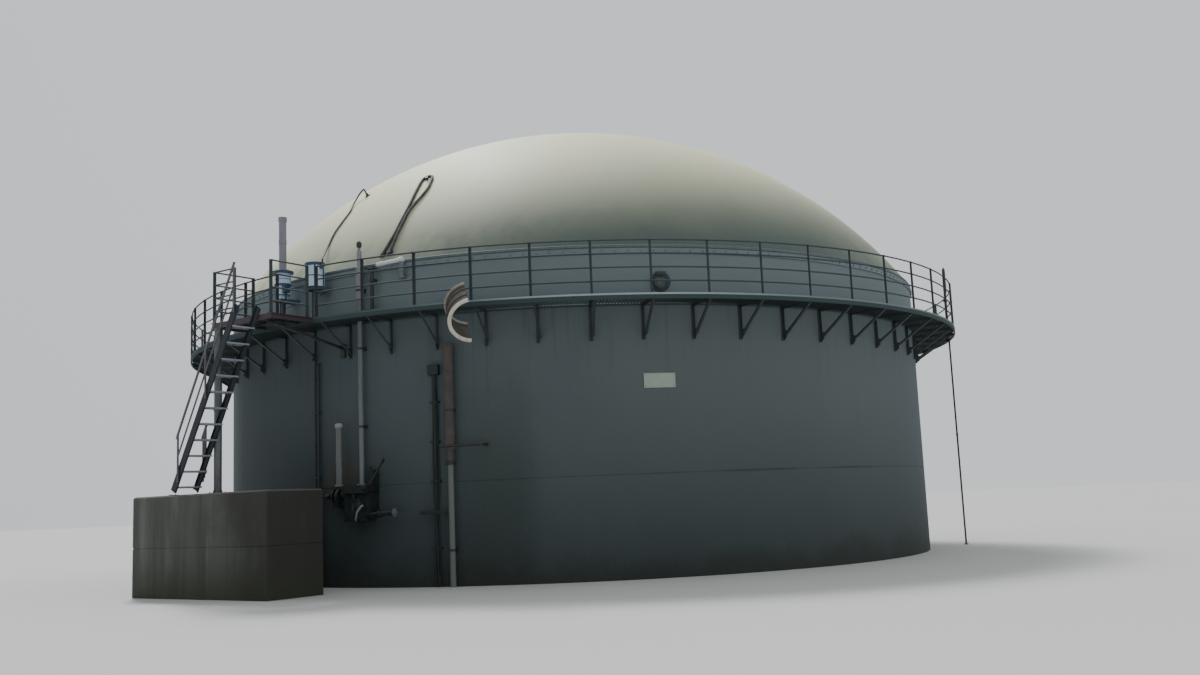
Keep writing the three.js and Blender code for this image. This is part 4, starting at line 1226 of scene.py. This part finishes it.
class DIGESTER_OT_relief(bpy.types.Operator):
    """Two relief drums, their stands and the tall stack"""

    bl_idname = "digester.relief"
    bl_label = "Relief drums"

    def execute(self, context):
        pale = plastic("drum_enamel_paint", (0.60, 0.79, 0.97), (0.31, 0.42, 0.53), 0.35, 0.3)
        blue = plastic("blue_band", (0.035, 0.065, 0.12), (0.05, 0.055, 0.06), 0.4, 0.35)
        grey = plastic("stack_grey", (0.26, 0.26, 0.31), (0.10, 0.10, 0.12), 0.5, 0.5)
        dark = steel_paint(
            "stand_paint", (0.058, 0.073, 0.082), (0.07, 0.066, 0.06), 0.3, 0.6, 0.2
        )

        y = drum_line(LEFT_DRUM[1])
        left = Shape(LEFT_DRUM[0], (0, y, 0), 32)
        left.turned([
            (0.12, 6.29), (0.12, 6.352), (0.150, 6.368), (0.150, 6.62), (0.175, 6.637),
            (0.175, 6.855), (0.20, 6.868), (0.20, 6.872),
        ])
        left.finish = 1
        cap = [(0.225, 6.872), (0.235, 6.878), (0.235, 6.924), (0.228, 6.93), (0.10, 6.93)]
        left.turned(cap)
        for low, high, r in ((6.60, 6.642, 0.186), (6.37, 6.398, 0.157), (6.74, 6.756, 0.181)):
            left.turned(collar(r, low, high, 0.02, 0.003))
        left.bolt_circle((0, y, 6.93), UP, 0.214, 0.010, 10, 0.0)
        left.block((0.135, y - 0.11, 6.42), (0.245, y + 0.02, 6.60))
        left.tube([(0.19, y - 0.05, 6.42), (0.19, y - 0.05, 6.34), (0.12, y, 6.30)], 0.014, 10)
        show("relief_vessel_left", left, [pale, blue], "drum_enamel", "relief_drum_left")

        y = drum_line(RIGHT_DRUM[1])
        right = Shape(RIGHT_DRUM[0], (0, y, 0), 36)
        right.turned([(0.198, 6.40), (0.205, 6.408), (0.205, 6.88), (0.20, 6.884)])
        right.finish = 1
        right.turned([
            (0.207, 6.882), (0.219, 6.888), (0.219, 6.942), (0.212, 6.95), (0.18, 6.946),
            (0.17, 6.936),
        ])
        for low, high in ((6.400, 6.424), (6.645, 6.672)):
            right.turned(collar(0.2105, low, high, 0.0205, 0.003))
        for c, s in around(6, 0.3):
            start = Vector((0.208 * c, y + 0.208 * s, 6.405))
            right.bar(start, start + Vector((0, 0, 0.48)), 0.034, 0.008, (c, s, 0))
        right.bolt_circle((0, y, 6.945), UP, 0.193, 0.009, 8)
        right.finish = 2
        right.block((0.180, y - 0.045, 6.802), (0.232, y + 0.026, 6.876))
        outlet = [(0.024, 6.810), (0.024, 6.874), (0.022, 6.878)]
        right.turned(outlet, (DRUM_OUTLET[0], y, 0), sides=20)
        right.block((0.200, y - 0.05, 6.815), (0.210, y + 0.03, 6.866))
        finishes = [pale, blue, dark]
        show("relief_vessel_right", right, finishes, "drum_enamel", "relief_drum_right")

        stands = Shape()
        for (azimuth, radius), low, width in ((LEFT_DRUM, 6.29, 0.16), (RIGHT_DRUM, 6.40, 0.215)):
            stands.turn_to(azimuth)
            y = drum_line(radius)
            front, skirt, under = y - 0.15, low - 0.05, low - 0.012
            stands.block((-width, front, under), (width, SUNK, low - 0.0005))
            for x in (-width, width - 0.006):
                stands.block((x, front, skirt), (x + 0.006, SUNK, low - 0.010))
            stands.block((-width, front, skirt), (width, y - 0.144, low - 0.010))
            for x, leg, way in ((-0.045, 0.09, OUT), (0.045, 0.05, (0, 1, 0))):
                stands.angle((x, y - x, DECK_TOP), (x, y - x, under), leg, 0.009, way)
            base = DECK_TOP + 0.012
            stands.block((-0.085, y - 0.085, DECK_TOP - 0.002), (0.085, y + 0.085, base))
            stands.bolts(product((-0.065, 0.065), (y - 0.065, y + 0.065), (base,)), UP, 0.011)
            stands.bar((0, y - 0.05, low - 0.25), (0, FACE - 0.01, low - 0.06), 0.04, 0.008)
        show("drum_stands", stands, [dark], "dark_steel", "drum_stand_left", "drum_stand_right")

        stack = Shape(LEFT_DRUM[0], (0, drum_line(LEFT_DRUM[1]), 0), 32)
        stack.turned([
            (0.13, 6.9303), (0.13, 6.965), (0.095, 6.972), (0.082, 6.99),
            *collar(0.089, 7.55, 7.645, 0.007, 0.005), (0.082, 8.05), (0.090, 8.06),
            (0.095, 8.07), (0.095, 8.165), (0.090, 8.17), (0.074, 8.17), (0.074, 8.05),
            (0.070, 8.0),
        ])
        show("relief_stack_pipe", stack, [grey], "stack_plastic", "relief_stack")
        return {"FINISHED"}


def flange(shape, place, axis, radius, thick, size, bolts):
    """A pair of bolted discs whose middle plane is at place."""
    place, axis = Vector(place), Vector(axis)
    level = axis.orthogonal().normalized()
    for side in (-1, 1):
        low, high = 0.002 * side, (0.002 + thick) * side
        steps = [(radius, low), (radius, high - 0.004 * side), (radius - 0.004, high)]
        shape.turned(steps, place, axis, 28)
        seat = place + axis * high
        shape.bolt_circle(seat, axis * side, radius - size * 1.6, size, bolts, level=level)


class DIGESTER_OT_vent_and_inlet(bpy.types.Operator):
    """Vent pipe through the walkway, and the inlet tube on its post"""

    bl_idname = "digester.vent_and_inlet"
    bl_label = "Vent and inlet"

    def execute(self, context):
        grey = plastic("pipe_grey", (0.175, 0.205, 0.208), (0.080, 0.092, 0.086), 0.5)
        lilac = plastic("sleeve_grey", (0.26, 0.255, 0.29), (0.11, 0.11, 0.12), 0.5)
        white = plastic("white_tube", (0.80, 0.84, 0.84), (0.42, 0.44, 0.42), 0.35, 0.35)
        dark = steel_paint("fitting_paint", (0.022, 0.026, 0.028), (0.10, 0.06, 0.035), 0.45)
        slate = steel_paint(
            "holder_paint", (0.10, 0.12, 0.125), (0.08, 0.07, 0.06), 0.3, 0.6, 0.2
        )

        y = FACE - 0.135
        vent = Shape(VENT_AT, (0, y, 0))
        vent.turned([
            (0.115, 2.1003), (0.115, 2.122), (0.111, 2.126), (0.064, 2.130), (0.060, 2.155),
            (0.052, 2.17), *collar(0.058, 3.92, 4.025, 0.006, 0.005), (0.052, 6.045),
        ])
        vent.bolt_circle((0, y, 2.124), UP, 0.09, 0.013, 6)
        vent.finish = 1
        vent.turned([
            (0.052, 6.035), (0.078, 6.05), (0.078, 6.72), (0.070, 6.73), (0.052, 6.74),
            (0.052, 7.07), (0.048, 7.08), (0.030, 7.085), (0.030, 7.16),
        ])
        vent.finish = 2
        vent.turned([
            (0.030, 7.145), (0.055, 7.18), (0.057, 7.20), (0.057, 7.255), (0.050, 7.27),
            (0.02, 7.30),
        ])
        for z, r in ((3.3, 0.058), (4.95, 0.058), (6.2, 0.084)):
            vent.turned(collar(r, z, z + 0.05, 0.008, 0.002))
            vent.block((-0.02, y + r - 0.005, z + 0.005), (0.02, SEAT, z + 0.045))
            vent.block((-0.06, PLATE_FRONT, z - 0.02), (0.06, SEAT, z + 0.07))
            vent.bolt((r + 0.012, y, z + 0.025), (1, 0, 0), 0.009)
        show("vent_riser", vent, [grey, lilac, dark], "grey_plastic", "vent_pipe")

        y = FACE - 0.16
        post = Shape(POST_AT, (0, y, 0), 20)
        post.turned([(0.042, DECK_TOP), (0.042, 6.632)])
        post.turned(collar(0.052, 6.37, 6.45, 0.002))
        post.block((-0.10, y - 0.09, 6.630), (0.10, y + 0.11, 6.642))
        for x in (-0.10, 0.09):
            post.block((x, y - 0.09, 6.642), (x + 0.01, y + 0.11, 6.66))
        post.block((-0.025, y, 6.385), (0.025, SEAT, 6.435))
        post.block((-0.13, y - 0.09, DECK_TOP), (0.09, y + 0.09, DECK_TOP + 0.18))
        lid = DECK_TOP + 0.172
        post.block((-0.138, y - 0.098, lid), (0.098, y + 0.098, lid + 0.018))
        levels = (DECK_TOP + 0.15, DECK_TOP + 0.03)
        post.bolts(product((-0.10, 0.06), (y - 0.09,), levels), OUT, 0.008)
        show("inlet_stand", post, [dark], "dark_steel", "inlet_post")

        tube = Shape()
        radius = WALL_RADIUS + 0.115
        start, end = polar(-26.3, radius, 6.73), polar(-22.9, radius, 6.76)
        way, long = (end - start).normalized(), (end - start).length
        tube.turned([
            (0.030, 0.0), (0.041, 0.004), (0.045, 0.012), (0.045, long - 0.10),
            (0.0475, long - 0.095), (0.0475, long - 0.01), (0.041, long),
        ], start, way)
        show("inlet_pipe", tube, [white], "white_plastic", "inlet_tube")

        corner = end + way * 0.0603
        holder = Shape(0, (corner.x, corner.y, 0), 20)
        socket = [(0.056, 0.0), (0.062, 0.006), (0.062, 0.098), (0.054, 0.105)]
        holder.finish = 1
        holder.turned(socket, end + way * 0.0003, way)
        holder.finish = 0
        holder.turned([(0.052, 6.37), (0.052, corner.z - 0.02), (0.04, corner.z)])
        holder.turned(collar(0.062, 6.50, 6.555, 0.004, 0.005))
        wall, out = polar(-22.5, WALL_RADIUS - 0.005, 6.43), polar(-22.5, 1, 0)
        holder.bar((corner.x, corner.y, 6.43), wall, 0.05, 0.06)
        holder.bar(wall + out * 0.001, wall + out * 0.014, 0.14, 0.14)
        show("inlet_elbow", holder, [slate, white], "dark_steel", "inlet_support")
        return {"FINISHED"}


class DIGESTER_OT_valve(bpy.types.Operator):
    """Valve at the pipes' foot, with its handwheel, lever, drain and stub pipe"""

    bl_idname = "digester.valve"
    bl_label = "Valve"

    def execute(self, context):
        iron = greasy_casting()
        grey = plastic("stub_grey", (0.17, 0.195, 0.19), (0.078, 0.076, 0.052), 0.65)
        pale = plastic("pale_cap", (0.36, 0.40, 0.40), (0.15, 0.16, 0.145), 0.4)
        dull = plastic("dull_ring", (0.13, 0.155, 0.15), (0.06, 0.068, 0.06), 0.5)
        bright = zinc("bent_pipe_zinc", (0.26, 0.29, 0.29), 0.5)
        back, front = FACE + 0.08, FACE - 0.43
        top, low = 2.10, 1.36
        across = (1, 0, 0)

        body = Shape(VALVE_AT)
        body.block((-0.10, front + 0.10, low + 0.16), (0.54, back, top - 0.12))
        body.block((-0.06, front + 0.04, low), (0.50, FACE - 0.05, low + 0.20))
        body.block((-0.10, front, top - 0.16), (0.54, back, top))
        body.block((-0.48, front + 0.16, low + 0.30), (-0.08, back - 0.02, top - 0.05))
        body.block((-0.48, front + 0.12, top - 0.06), (-0.08, back, top))
        bonnet = [(0.17, 0), (0.17, 0.04), (0.12, 0.05), (0.12, 0.34)]
        body.turned(bonnet, (-0.45, FACE - 0.20, 1.90), across, 28)
        for x in (-0.28, 0.20):
            flange(body, (x, FACE - 0.20, 1.86), across, 0.215, 0.03, 0.014, 10)
        belly = [(0.14, 0.0), (0.17, 0.12), (0.17, 0.34), (0.13, 0.46)]
        body.turned(belly, (0.22, FACE - 0.22, low + 0.02))
        for y, z in ((front + 0.04, low + 0.05), (front, top - 0.08)):
            body.bolts(product((-0.04, 0.22, 0.48), (y,), (z,)), OUT, 0.018)
        box = front + 0.27
        body.block((0.40, box, top - 0.02), (0.56, FACE - 0.02, top + 0.31))
        body.block((0.41, box - 0.015, top + 0.012), (0.55, box + 0.002, top + 0.298))
        corners = product((0.425, 0.535), (box - 0.015,), (top + 0.03, top + 0.28))
        body.bolts(corners, OUT, 0.008)
        elbow = ((0.45, 0.05, 0.30), (0.45, 0.05, 0.35), (0.43, 0, 0.38))
        body.tube([(x, box + y, top + z) for x, y, z in elbow], 0.018, 10)
        pivot = [(0.05, 0), (0.055, 0.02), (0.055, 0.11), (0.045, 0.13)]
        body.turned(pivot, (0.50, front + 0.08, top - 0.06), OUT, 20)
        lever = ((0.52, front + 0.10, top - 0.06), (0.90, front + 0.155, top + 0.48))
        body.bar(*lever, 0.05, 0.018, OUT)
        grip = [(0.885, front + 0.155, top + 0.46), (0.93, front + 0.14, top + 0.525)]
        body.tube(grip, 0.03)
        drain = [(0.50, front + 0.17, low + 0.12), (1.15, front + 0.20, low + 0.16)]
        fall = (1, 0.045, 0.06)
        body.tube(drain, 0.052, 18)
        band = collar(0.07, 0, 0.07, 0.004, 0.01)
        body.turned(band, (0.72, front + 0.18, low + 0.134), fall, 18)
        body.finish = 1
        mouth = [(0.06, 0), (0.088, 0.004), (0.088, 0.022), (0.06, 0.026), (0.052, 0.05)]
        body.turned(mouth, (1.13, front + 0.199, low + 0.159), fall)
        body.finish = 2
        bent = ((0.30, -0.01, 0.02), (0.33, -0.04, 0.08), (0.36, -0.04, 0.20), (0.43, -0.01, 0.30),
                (0.46, 0.03, 0.33))
        body.tube([(x, front + y, low + z) for x, y, z in bent], 0.022)
        finishes = [iron, dull, bright]
        show("valve_body", body, finishes, "cast_dark", "valve_casing", smooth=38, bevel=0.006)

        stub = Shape(STUB_AT, (0, FACE - 0.24, 0))
        pipe = [(0.095, 2.1003), (0.095, 2.13), (0.092, 2.14), (0.062, 2.145), (0.062, 3.335)]
        stub.turned(pipe)
        stub.turned(collar(0.071, 2.60, 2.68, 0.002))
        stub.finish = 1
        stub.turned([(0.066, 3.325), (0.080, 3.34), (0.080, 3.40), (0.074, 3.415), (0.03, 3.43)])
        show("stub_riser", stub, [grey, pale], "grey_plastic", "stub_pipe")

        hub = Vector((-1.0103, FACE - 0.2, 1.90))
        wheel = Shape(VALVE_AT, hub, 16)
        rim = [hub + Vector((0, 0.19 * c, 0.19 * s)) for c, s in around(32)]
        wheel.tube(rim, 0.015, looped=True)
        for c, s in around(5, 0.2):
            out = Vector((0, c, s))
            near, middle = Vector((0.03, 0, 0)) + out * 0.03, Vector((0.012, 0, 0)) + out * 0.11
            wheel.tube([hub + near, hub + middle, hub + out * 0.188], [0.014, 0.011, 0.010], 10)
        stem = [
            (0.035, -0.03), (0.045, -0.02), (0.045, 0.05), (0.030, 0.06), (0.026, 0.10),
            (0.026, 0.53),
        ]
        for profile in (stem, collar(0.055, 0.30, 0.41, 0.005, 0.01)):
            wheel.turned(profile, axis=across)
        wheel.finish = 1
        wheel.turned([(0.036, -0.06), (0.044, -0.052), (0.044, -0.03)], axis=across)
        show("handwheel", wheel, [iron, pale], "cast_dark", "valve_handwheel")
        return {"FINISHED"}


class DIGESTER_OT_wall_pipes(bpy.types.Operator):
    """Conduits, cable trunk and the brown riser on the wall"""

    bl_idname = "digester.wall_pipes"
    bl_label = "Pipes on the wall"

    def execute(self, context):
        slate = plastic("conduit_slate", (0.036, 0.050, 0.056), (0.055, 0.064, 0.060), 0.4, 0.6)
        black = plastic("cable_black", (0.016, 0.026, 0.026), (0.036, 0.045, 0.040), 0.4)
        dark = steel_paint("bar_paint", (0.020, 0.022, 0.022), (0.09, 0.05, 0.03), 0.4)

        pipes = Shape(CONDUITS_AT)
        y = FACE - 0.05
        for x in (-0.052, 0.052):
            bend = ((0, 0.0), (0, 4.72), (0.012, 4.77), (0.03, 4.80))
            pipes.tube([(x, y + back, z) for back, z in bend], 0.024)
            for z in (1.5, 3.0, 4.4):
                pipes.turned(collar(0.029, z, z + 0.07, 0.001, 0.002), (x, y, 0), sides=14)
        for z in (0.9, 2.3, 3.7):
            pipes.block((-0.10, y - 0.030, z), (0.10, y - 0.024, z + 0.04))
            for x in (-0.094, 0.0, 0.094):
                pipes.block((x - 0.005, y - 0.026, z), (x + 0.005, SEAT, z + 0.04))
                pipes.bolt((x, y - 0.030, z + 0.02), OUT, 0.007)
        show("wall_conduit_pair", pipes, [slate], "dark_plastic", "wall_conduits")

        trunk = Shape(TRUNK_AT)
        front = FACE - 0.11
        trunk.block((-0.11, front, 4.28), (0.11, SUNK, 4.49))
        trunk.block((-0.118, front - 0.008, 4.29), (0.118, front + 0.002, 4.48))
        trunk.bolts(product((-0.09, 0.09), (front - 0.008,), (4.31, 4.46)), OUT, 0.008)
        cables = (
            (-0.042, 0.016, 0.3, 0.010), (-0.012, 0.018, 1.1, 0.014), (0.022, 0.015, 2.0, 0.012),
            (0.045, 0.012, 2.9, 0.020), (0.0, 0.020, 4.0, 0.010),
        )
        head, drop, slack_below = 4.29, 4.286, 2.6
        for number, (x, radius, phase, sway) in enumerate(cables):
            out = FACE - 0.045 - 0.022 * (number % 3)
            path = []
            for k in range(40):
                z = head - drop * k / 39
                reach = sway * (1.0 + 2.5 * max(0.0, slack_below - z) / slack_below)
                shift = reach * (math.sin(1.7 * z + phase) + 0.5 * math.sin(4.1 * z + 2 * phase))
                path.append((x + shift, out, z))
            trunk.tube(path, radius, 10)
        strap = FACE - 0.095
        for z in (0.75, 2.1, 2.9, 3.7):
            trunk.block((-0.10, strap, z), (0.10, strap + 0.008, z + 0.03))
            for x in (-0.10, 0.094):
                trunk.block((x, strap, z), (x + 0.006, SUNK, z + 0.03))
        shelf = front - 0.04
        trunk.angle((-0.33, shelf, 1.45), (0.22, shelf, 1.45), 0.07, 0.007)
        for x in (-0.33, 0.18):
            trunk.block((x, shelf, 1.45), (x + 0.04, SUNK, 1.457))
        show("cable_bundle", trunk, [black], "dark_plastic", "cable_trunk")

        y = FACE - 0.125
        riser = Shape(RISER_AT, (0, y, 0), 28)
        riser.turned([(0.058, 0.0), (0.058, 2.40), (0.064, 2.42), (0.064, 2.436)])
        riser.finish = 1
        flange(riser, (0, y, 2.478), UP, 0.10, 0.036, 0.013, 6)
        riser.finish = 0
        riser.turned([
            (0.070, 2.516), (0.070, 2.69), (0.084, 2.715), (0.105, 2.74), (0.105, 4.87),
            (0.098, 4.885), (0.03, 4.89),
        ])
        for z in (3.55, 4.3):
            riser.turned(collar(0.111, z, z + 0.02, 0.006))
        riser.finish = 1
        for z, r in ((0.70, 0.064), (3.50, 0.111)):
            riser.turned(collar(r, z, z + 0.05, 0.01, 0.002))
            riser.block((-0.03, y + r - 0.01, z), (0.03, SEAT, z + 0.05))
            riser.block((-0.08, PLATE_FRONT, z - 0.03), (0.08, SEAT, z + 0.08))
        riser.tube([(-0.185, y - 0.125, 2.80), (0.74, y - 0.125, 2.80)], 0.026)
        riser.block((0.725, y - 0.15, 2.775), (0.765, FACE + 0.13, 2.825))
        show("brown_riser", riser, [rusty_paint(), dark], "rusty_steel", "wall_riser")
        return {"FINISHED"}


class DIGESTER_OT_saddle_and_rod(bpy.types.Operator):
    """Curved saddle on the walkway's edge, and the lightning rod"""

    bl_idname = "digester.saddle_and_rod"
    bl_label = "Saddle and rod"

    def execute(self, context):
        beige = plastic("saddle_rims", (0.68, 0.66, 0.56), (0.30, 0.25, 0.18), 0.5, 0.55)
        # The sheet between the rims is dark brown: partly its own colour, partly painted shade
        brown = plastic("saddle_sheet_shaded", (0.057, 0.051, 0.038), (0.030, 0.028, 0.022), 0.7, 0.7)
        # Painted shade: the rear rim is a darker copy of the beige rims
        shaded_rear_rim = plastic("saddle_rear_rim_shaded", (0.30, 0.29, 0.25), (0.11, 0.098, 0.078), 0.6, 0.6)
        dark = steel_paint("rod_paint", (0.020, 0.024, 0.026), (0.09, 0.055, 0.03), 0.35)

        rear = polar(-11.03, DECK_RADIUS + 0.28, 5.466)
        front = polar(-10.02, DECK_RADIUS + 0.70, 5.076)
        axis, long = (front - rear).normalized(), (front - rear).length
        left = (Vector((-1, 0, 0)) + axis * axis.x).normalized()
        up = -left.cross(axis)
        up = up if up.z > 0 else -up
        radius, thick = 0.465, 0.014
        turns = [math.radians(-80 + 162 * k / 32) for k in range(33)]

        def at(t, r, z):
            return rear + left * (r * math.cos(t)) + up * (r * math.sin(t)) + axis * z

        saddle = Shape()
        saddle.finish = 1
        corners = oblong(radius - thick, 0, radius, long)
        saddle.loft([[at(t, r, z) for r, z in corners] for t in turns])
        # The rear rim at z 0 takes the painted shade, the front rim the beige
        for z, finish in ((0, 3), (long, 0)):
            saddle.finish = finish
            saddle.tube([at(t, radius - thick / 2, z) for t in turns], 0.038, 14)
        saddle.finish = 1
        for z in (long / 3, 2 * long / 3):
            saddle.tube([at(t, radius + 0.001, z) for t in turns], 0.010, 8)
        saddle.finish = 2
        hold = polar(-13.9, DECK_RADIUS - 0.01, DECK_TOP - 0.055)
        grip = at(math.radians(10), radius - thick / 2, 0.04)
        saddle.bar(hold, grip, 0.07, 0.012)
        saddle.bar(hold, grip, 0.012, 0.05)
        finishes = [beige, brown, dark, shaded_rear_rim]
        show("edge_saddle", saddle, finishes, "saddle_beige", "hose_saddle", smooth=40)

        rod = Shape(ROD_AT, (0, -DECK_RADIUS - 0.062, 0), 16)
        rod.turned([
            (0.060, 0), (0.060, 0.018), (0.03, 0.022), (0.024, 0.05),
            *collar(0.029, 2.9, 2.995, 0.005, 0.005), *collar(0.029, 5.9, 5.995, 0.005, 0.005),
            (0.024, 6.85), (0.042, 6.90), (0.042, 7.52), (0.03, 7.55), (0.008, 7.60),
        ])
        for z in (DECK_TOP - 0.08, DECK_TOP + 1.04):
            rod.turned(collar(0.032, z, z + 0.05, 0.006))
            rod.block((-0.02, -DECK_RADIUS - 0.045, z), (0.02, -DECK_RADIUS + 0.01, z + 0.05))
        show("lightning_conductor", rod, [dark], "dark_steel", "lightning_rod")
        return {"FINISHED"}


class DIGESTER_OT_stage(bpy.types.Operator):
    """Pale floor, soft light and the camera"""

    bl_idname = "digester.stage"
    bl_label = "Floor, light and camera"

    def execute(self, context):
        ground = Finish("pale_floor")
        ground.colour = ground.mix(ground.noise(0.05, 3), (0.55, 0.55, 0.54), (0.60, 0.60, 0.59))
        disc = Shape(sides=96)
        disc.turned([(300, -0.4), (300, -0.002)])
        new_piece("floor", disc, [ground.done(0.9)])

        world = bpy.data.worlds.new("soft_sky")
        world.use_nodes = True
        sky = Tree(world.node_tree)
        ahead = sky.node("ShaderNodeTexCoord", out="Generated")
        dot, sockets = {"operation": "DOT_PRODUCT"}, {0: ahead, 1: (0.25, 0.80, 0.55)}
        facing = sky.node("ShaderNodeVectorMath", dot, sockets, out="Value")
        sockets = {0: facing, 1: -0.8, 2: 0.8, 3: 0.36, 4: 0.85}
        strength = sky.node("ShaderNodeMapRange", {}, sockets)
        background = world.node_tree.nodes["Background"]
        sky.fill(background, {0: (0.95, 0.975, 1.0, 1), 1: strength})
        context.scene.world = world

        for name, energy, spread, aim in (
            ("soft_key", 2.9, 12, (-0.30, 0.84, 1.10)), ("soft_fill", 0.28, 80, (0.7, -0.7, 0.45)),
        ):
            sun = bpy.data.lights.new(name, "SUN")
            sun.energy, sun.angle = energy, math.radians(spread)
            lamp = placed(name, sun)
            lamp.rotation_mode = "QUATERNION"
            lamp.rotation_quaternion = Vector(aim).to_track_quat("Z", "Y")

        # The fitted camera: pixels of the picture, millimetres, metres and radians
        focal, picture_width, sensor_width = 1157.64, 1200, 36
        distance, height = 32.57, 1.6025
        yaw, pitch, roll = 0.0216, 0.139, -0.0423
        eye = placed("camera", bpy.data.cameras.new("camera"))
        eye.data.sensor_width, eye.data.sensor_fit = sensor_width, "HORIZONTAL"
        eye.data.lens = focal * sensor_width / picture_width
        eye.data.clip_end = 1000
        flat = math.cos(pitch)
        ahead = Vector((math.sin(yaw) * flat, math.cos(yaw) * flat, math.sin(pitch)))
        level = Vector((math.cos(yaw), -math.sin(yaw), 0))
        above = level.cross(ahead)
        right = level * math.cos(roll) + above * math.sin(roll)
        up = above * math.cos(roll) - level * math.sin(roll)
        turn = Matrix((right, up, -ahead)).transposed()
        eye.matrix_world = Matrix.Translation((0, -distance, height)) @ turn.to_4x4()
        context.scene.camera = eye
        return {"FINISHED"}


class DIGESTER_PT_pieces(bpy.types.Panel):
    """Lists the pieces and their settings."""

    bl_idname = "DIGESTER_PT_pieces"
    bl_label = "Digester"
    bl_space_type = "VIEW_3D"
    bl_region_type = "UI"
    bl_category = "Digester"

    def draw(self, context):
        for operator in OPERATORS:
            self.layout.operator(operator.bl_idname)
        for settings in (context.scene.digester_looks, context.scene.digester_sizes):
            box = self.layout.box()
            for name in settings.__annotations__:
                box.prop(settings, name)


OPERATORS = (
    DIGESTER_OT_stage,
    DIGESTER_OT_dome_cords,
    DIGESTER_OT_tank,
    DIGESTER_OT_dome,
    DIGESTER_OT_walkway,
    DIGESTER_OT_railing,
    DIGESTER_OT_landing,
    DIGESTER_OT_stair,
    DIGESTER_OT_port_and_sign,
    DIGESTER_OT_relief,
    DIGESTER_OT_vent_and_inlet,
    DIGESTER_OT_valve,
    DIGESTER_OT_wall_pipes,
    DIGESTER_OT_saddle_and_rod,
)
CLASSES = (DigesterLooks, DigesterSizes, *OPERATORS, DIGESTER_PT_pieces)


def register():
    for c in CLASSES:
        bpy.utils.register_class(c)
    bpy.types.Scene.digester_looks = PointerProperty(type=DigesterLooks)
    bpy.types.Scene.digester_sizes = PointerProperty(type=DigesterSizes)


def unregister():
    del bpy.types.Scene.digester_looks
    del bpy.types.Scene.digester_sizes
    for c in reversed(CLASSES):
        bpy.utils.unregister_class(c)


def main():
    register()
    for operator in OPERATORS:
        group, name = operator.bl_idname.split(".")
        getattr(getattr(bpy.ops, group), name)()


if __name__ == "__main__":
    main()
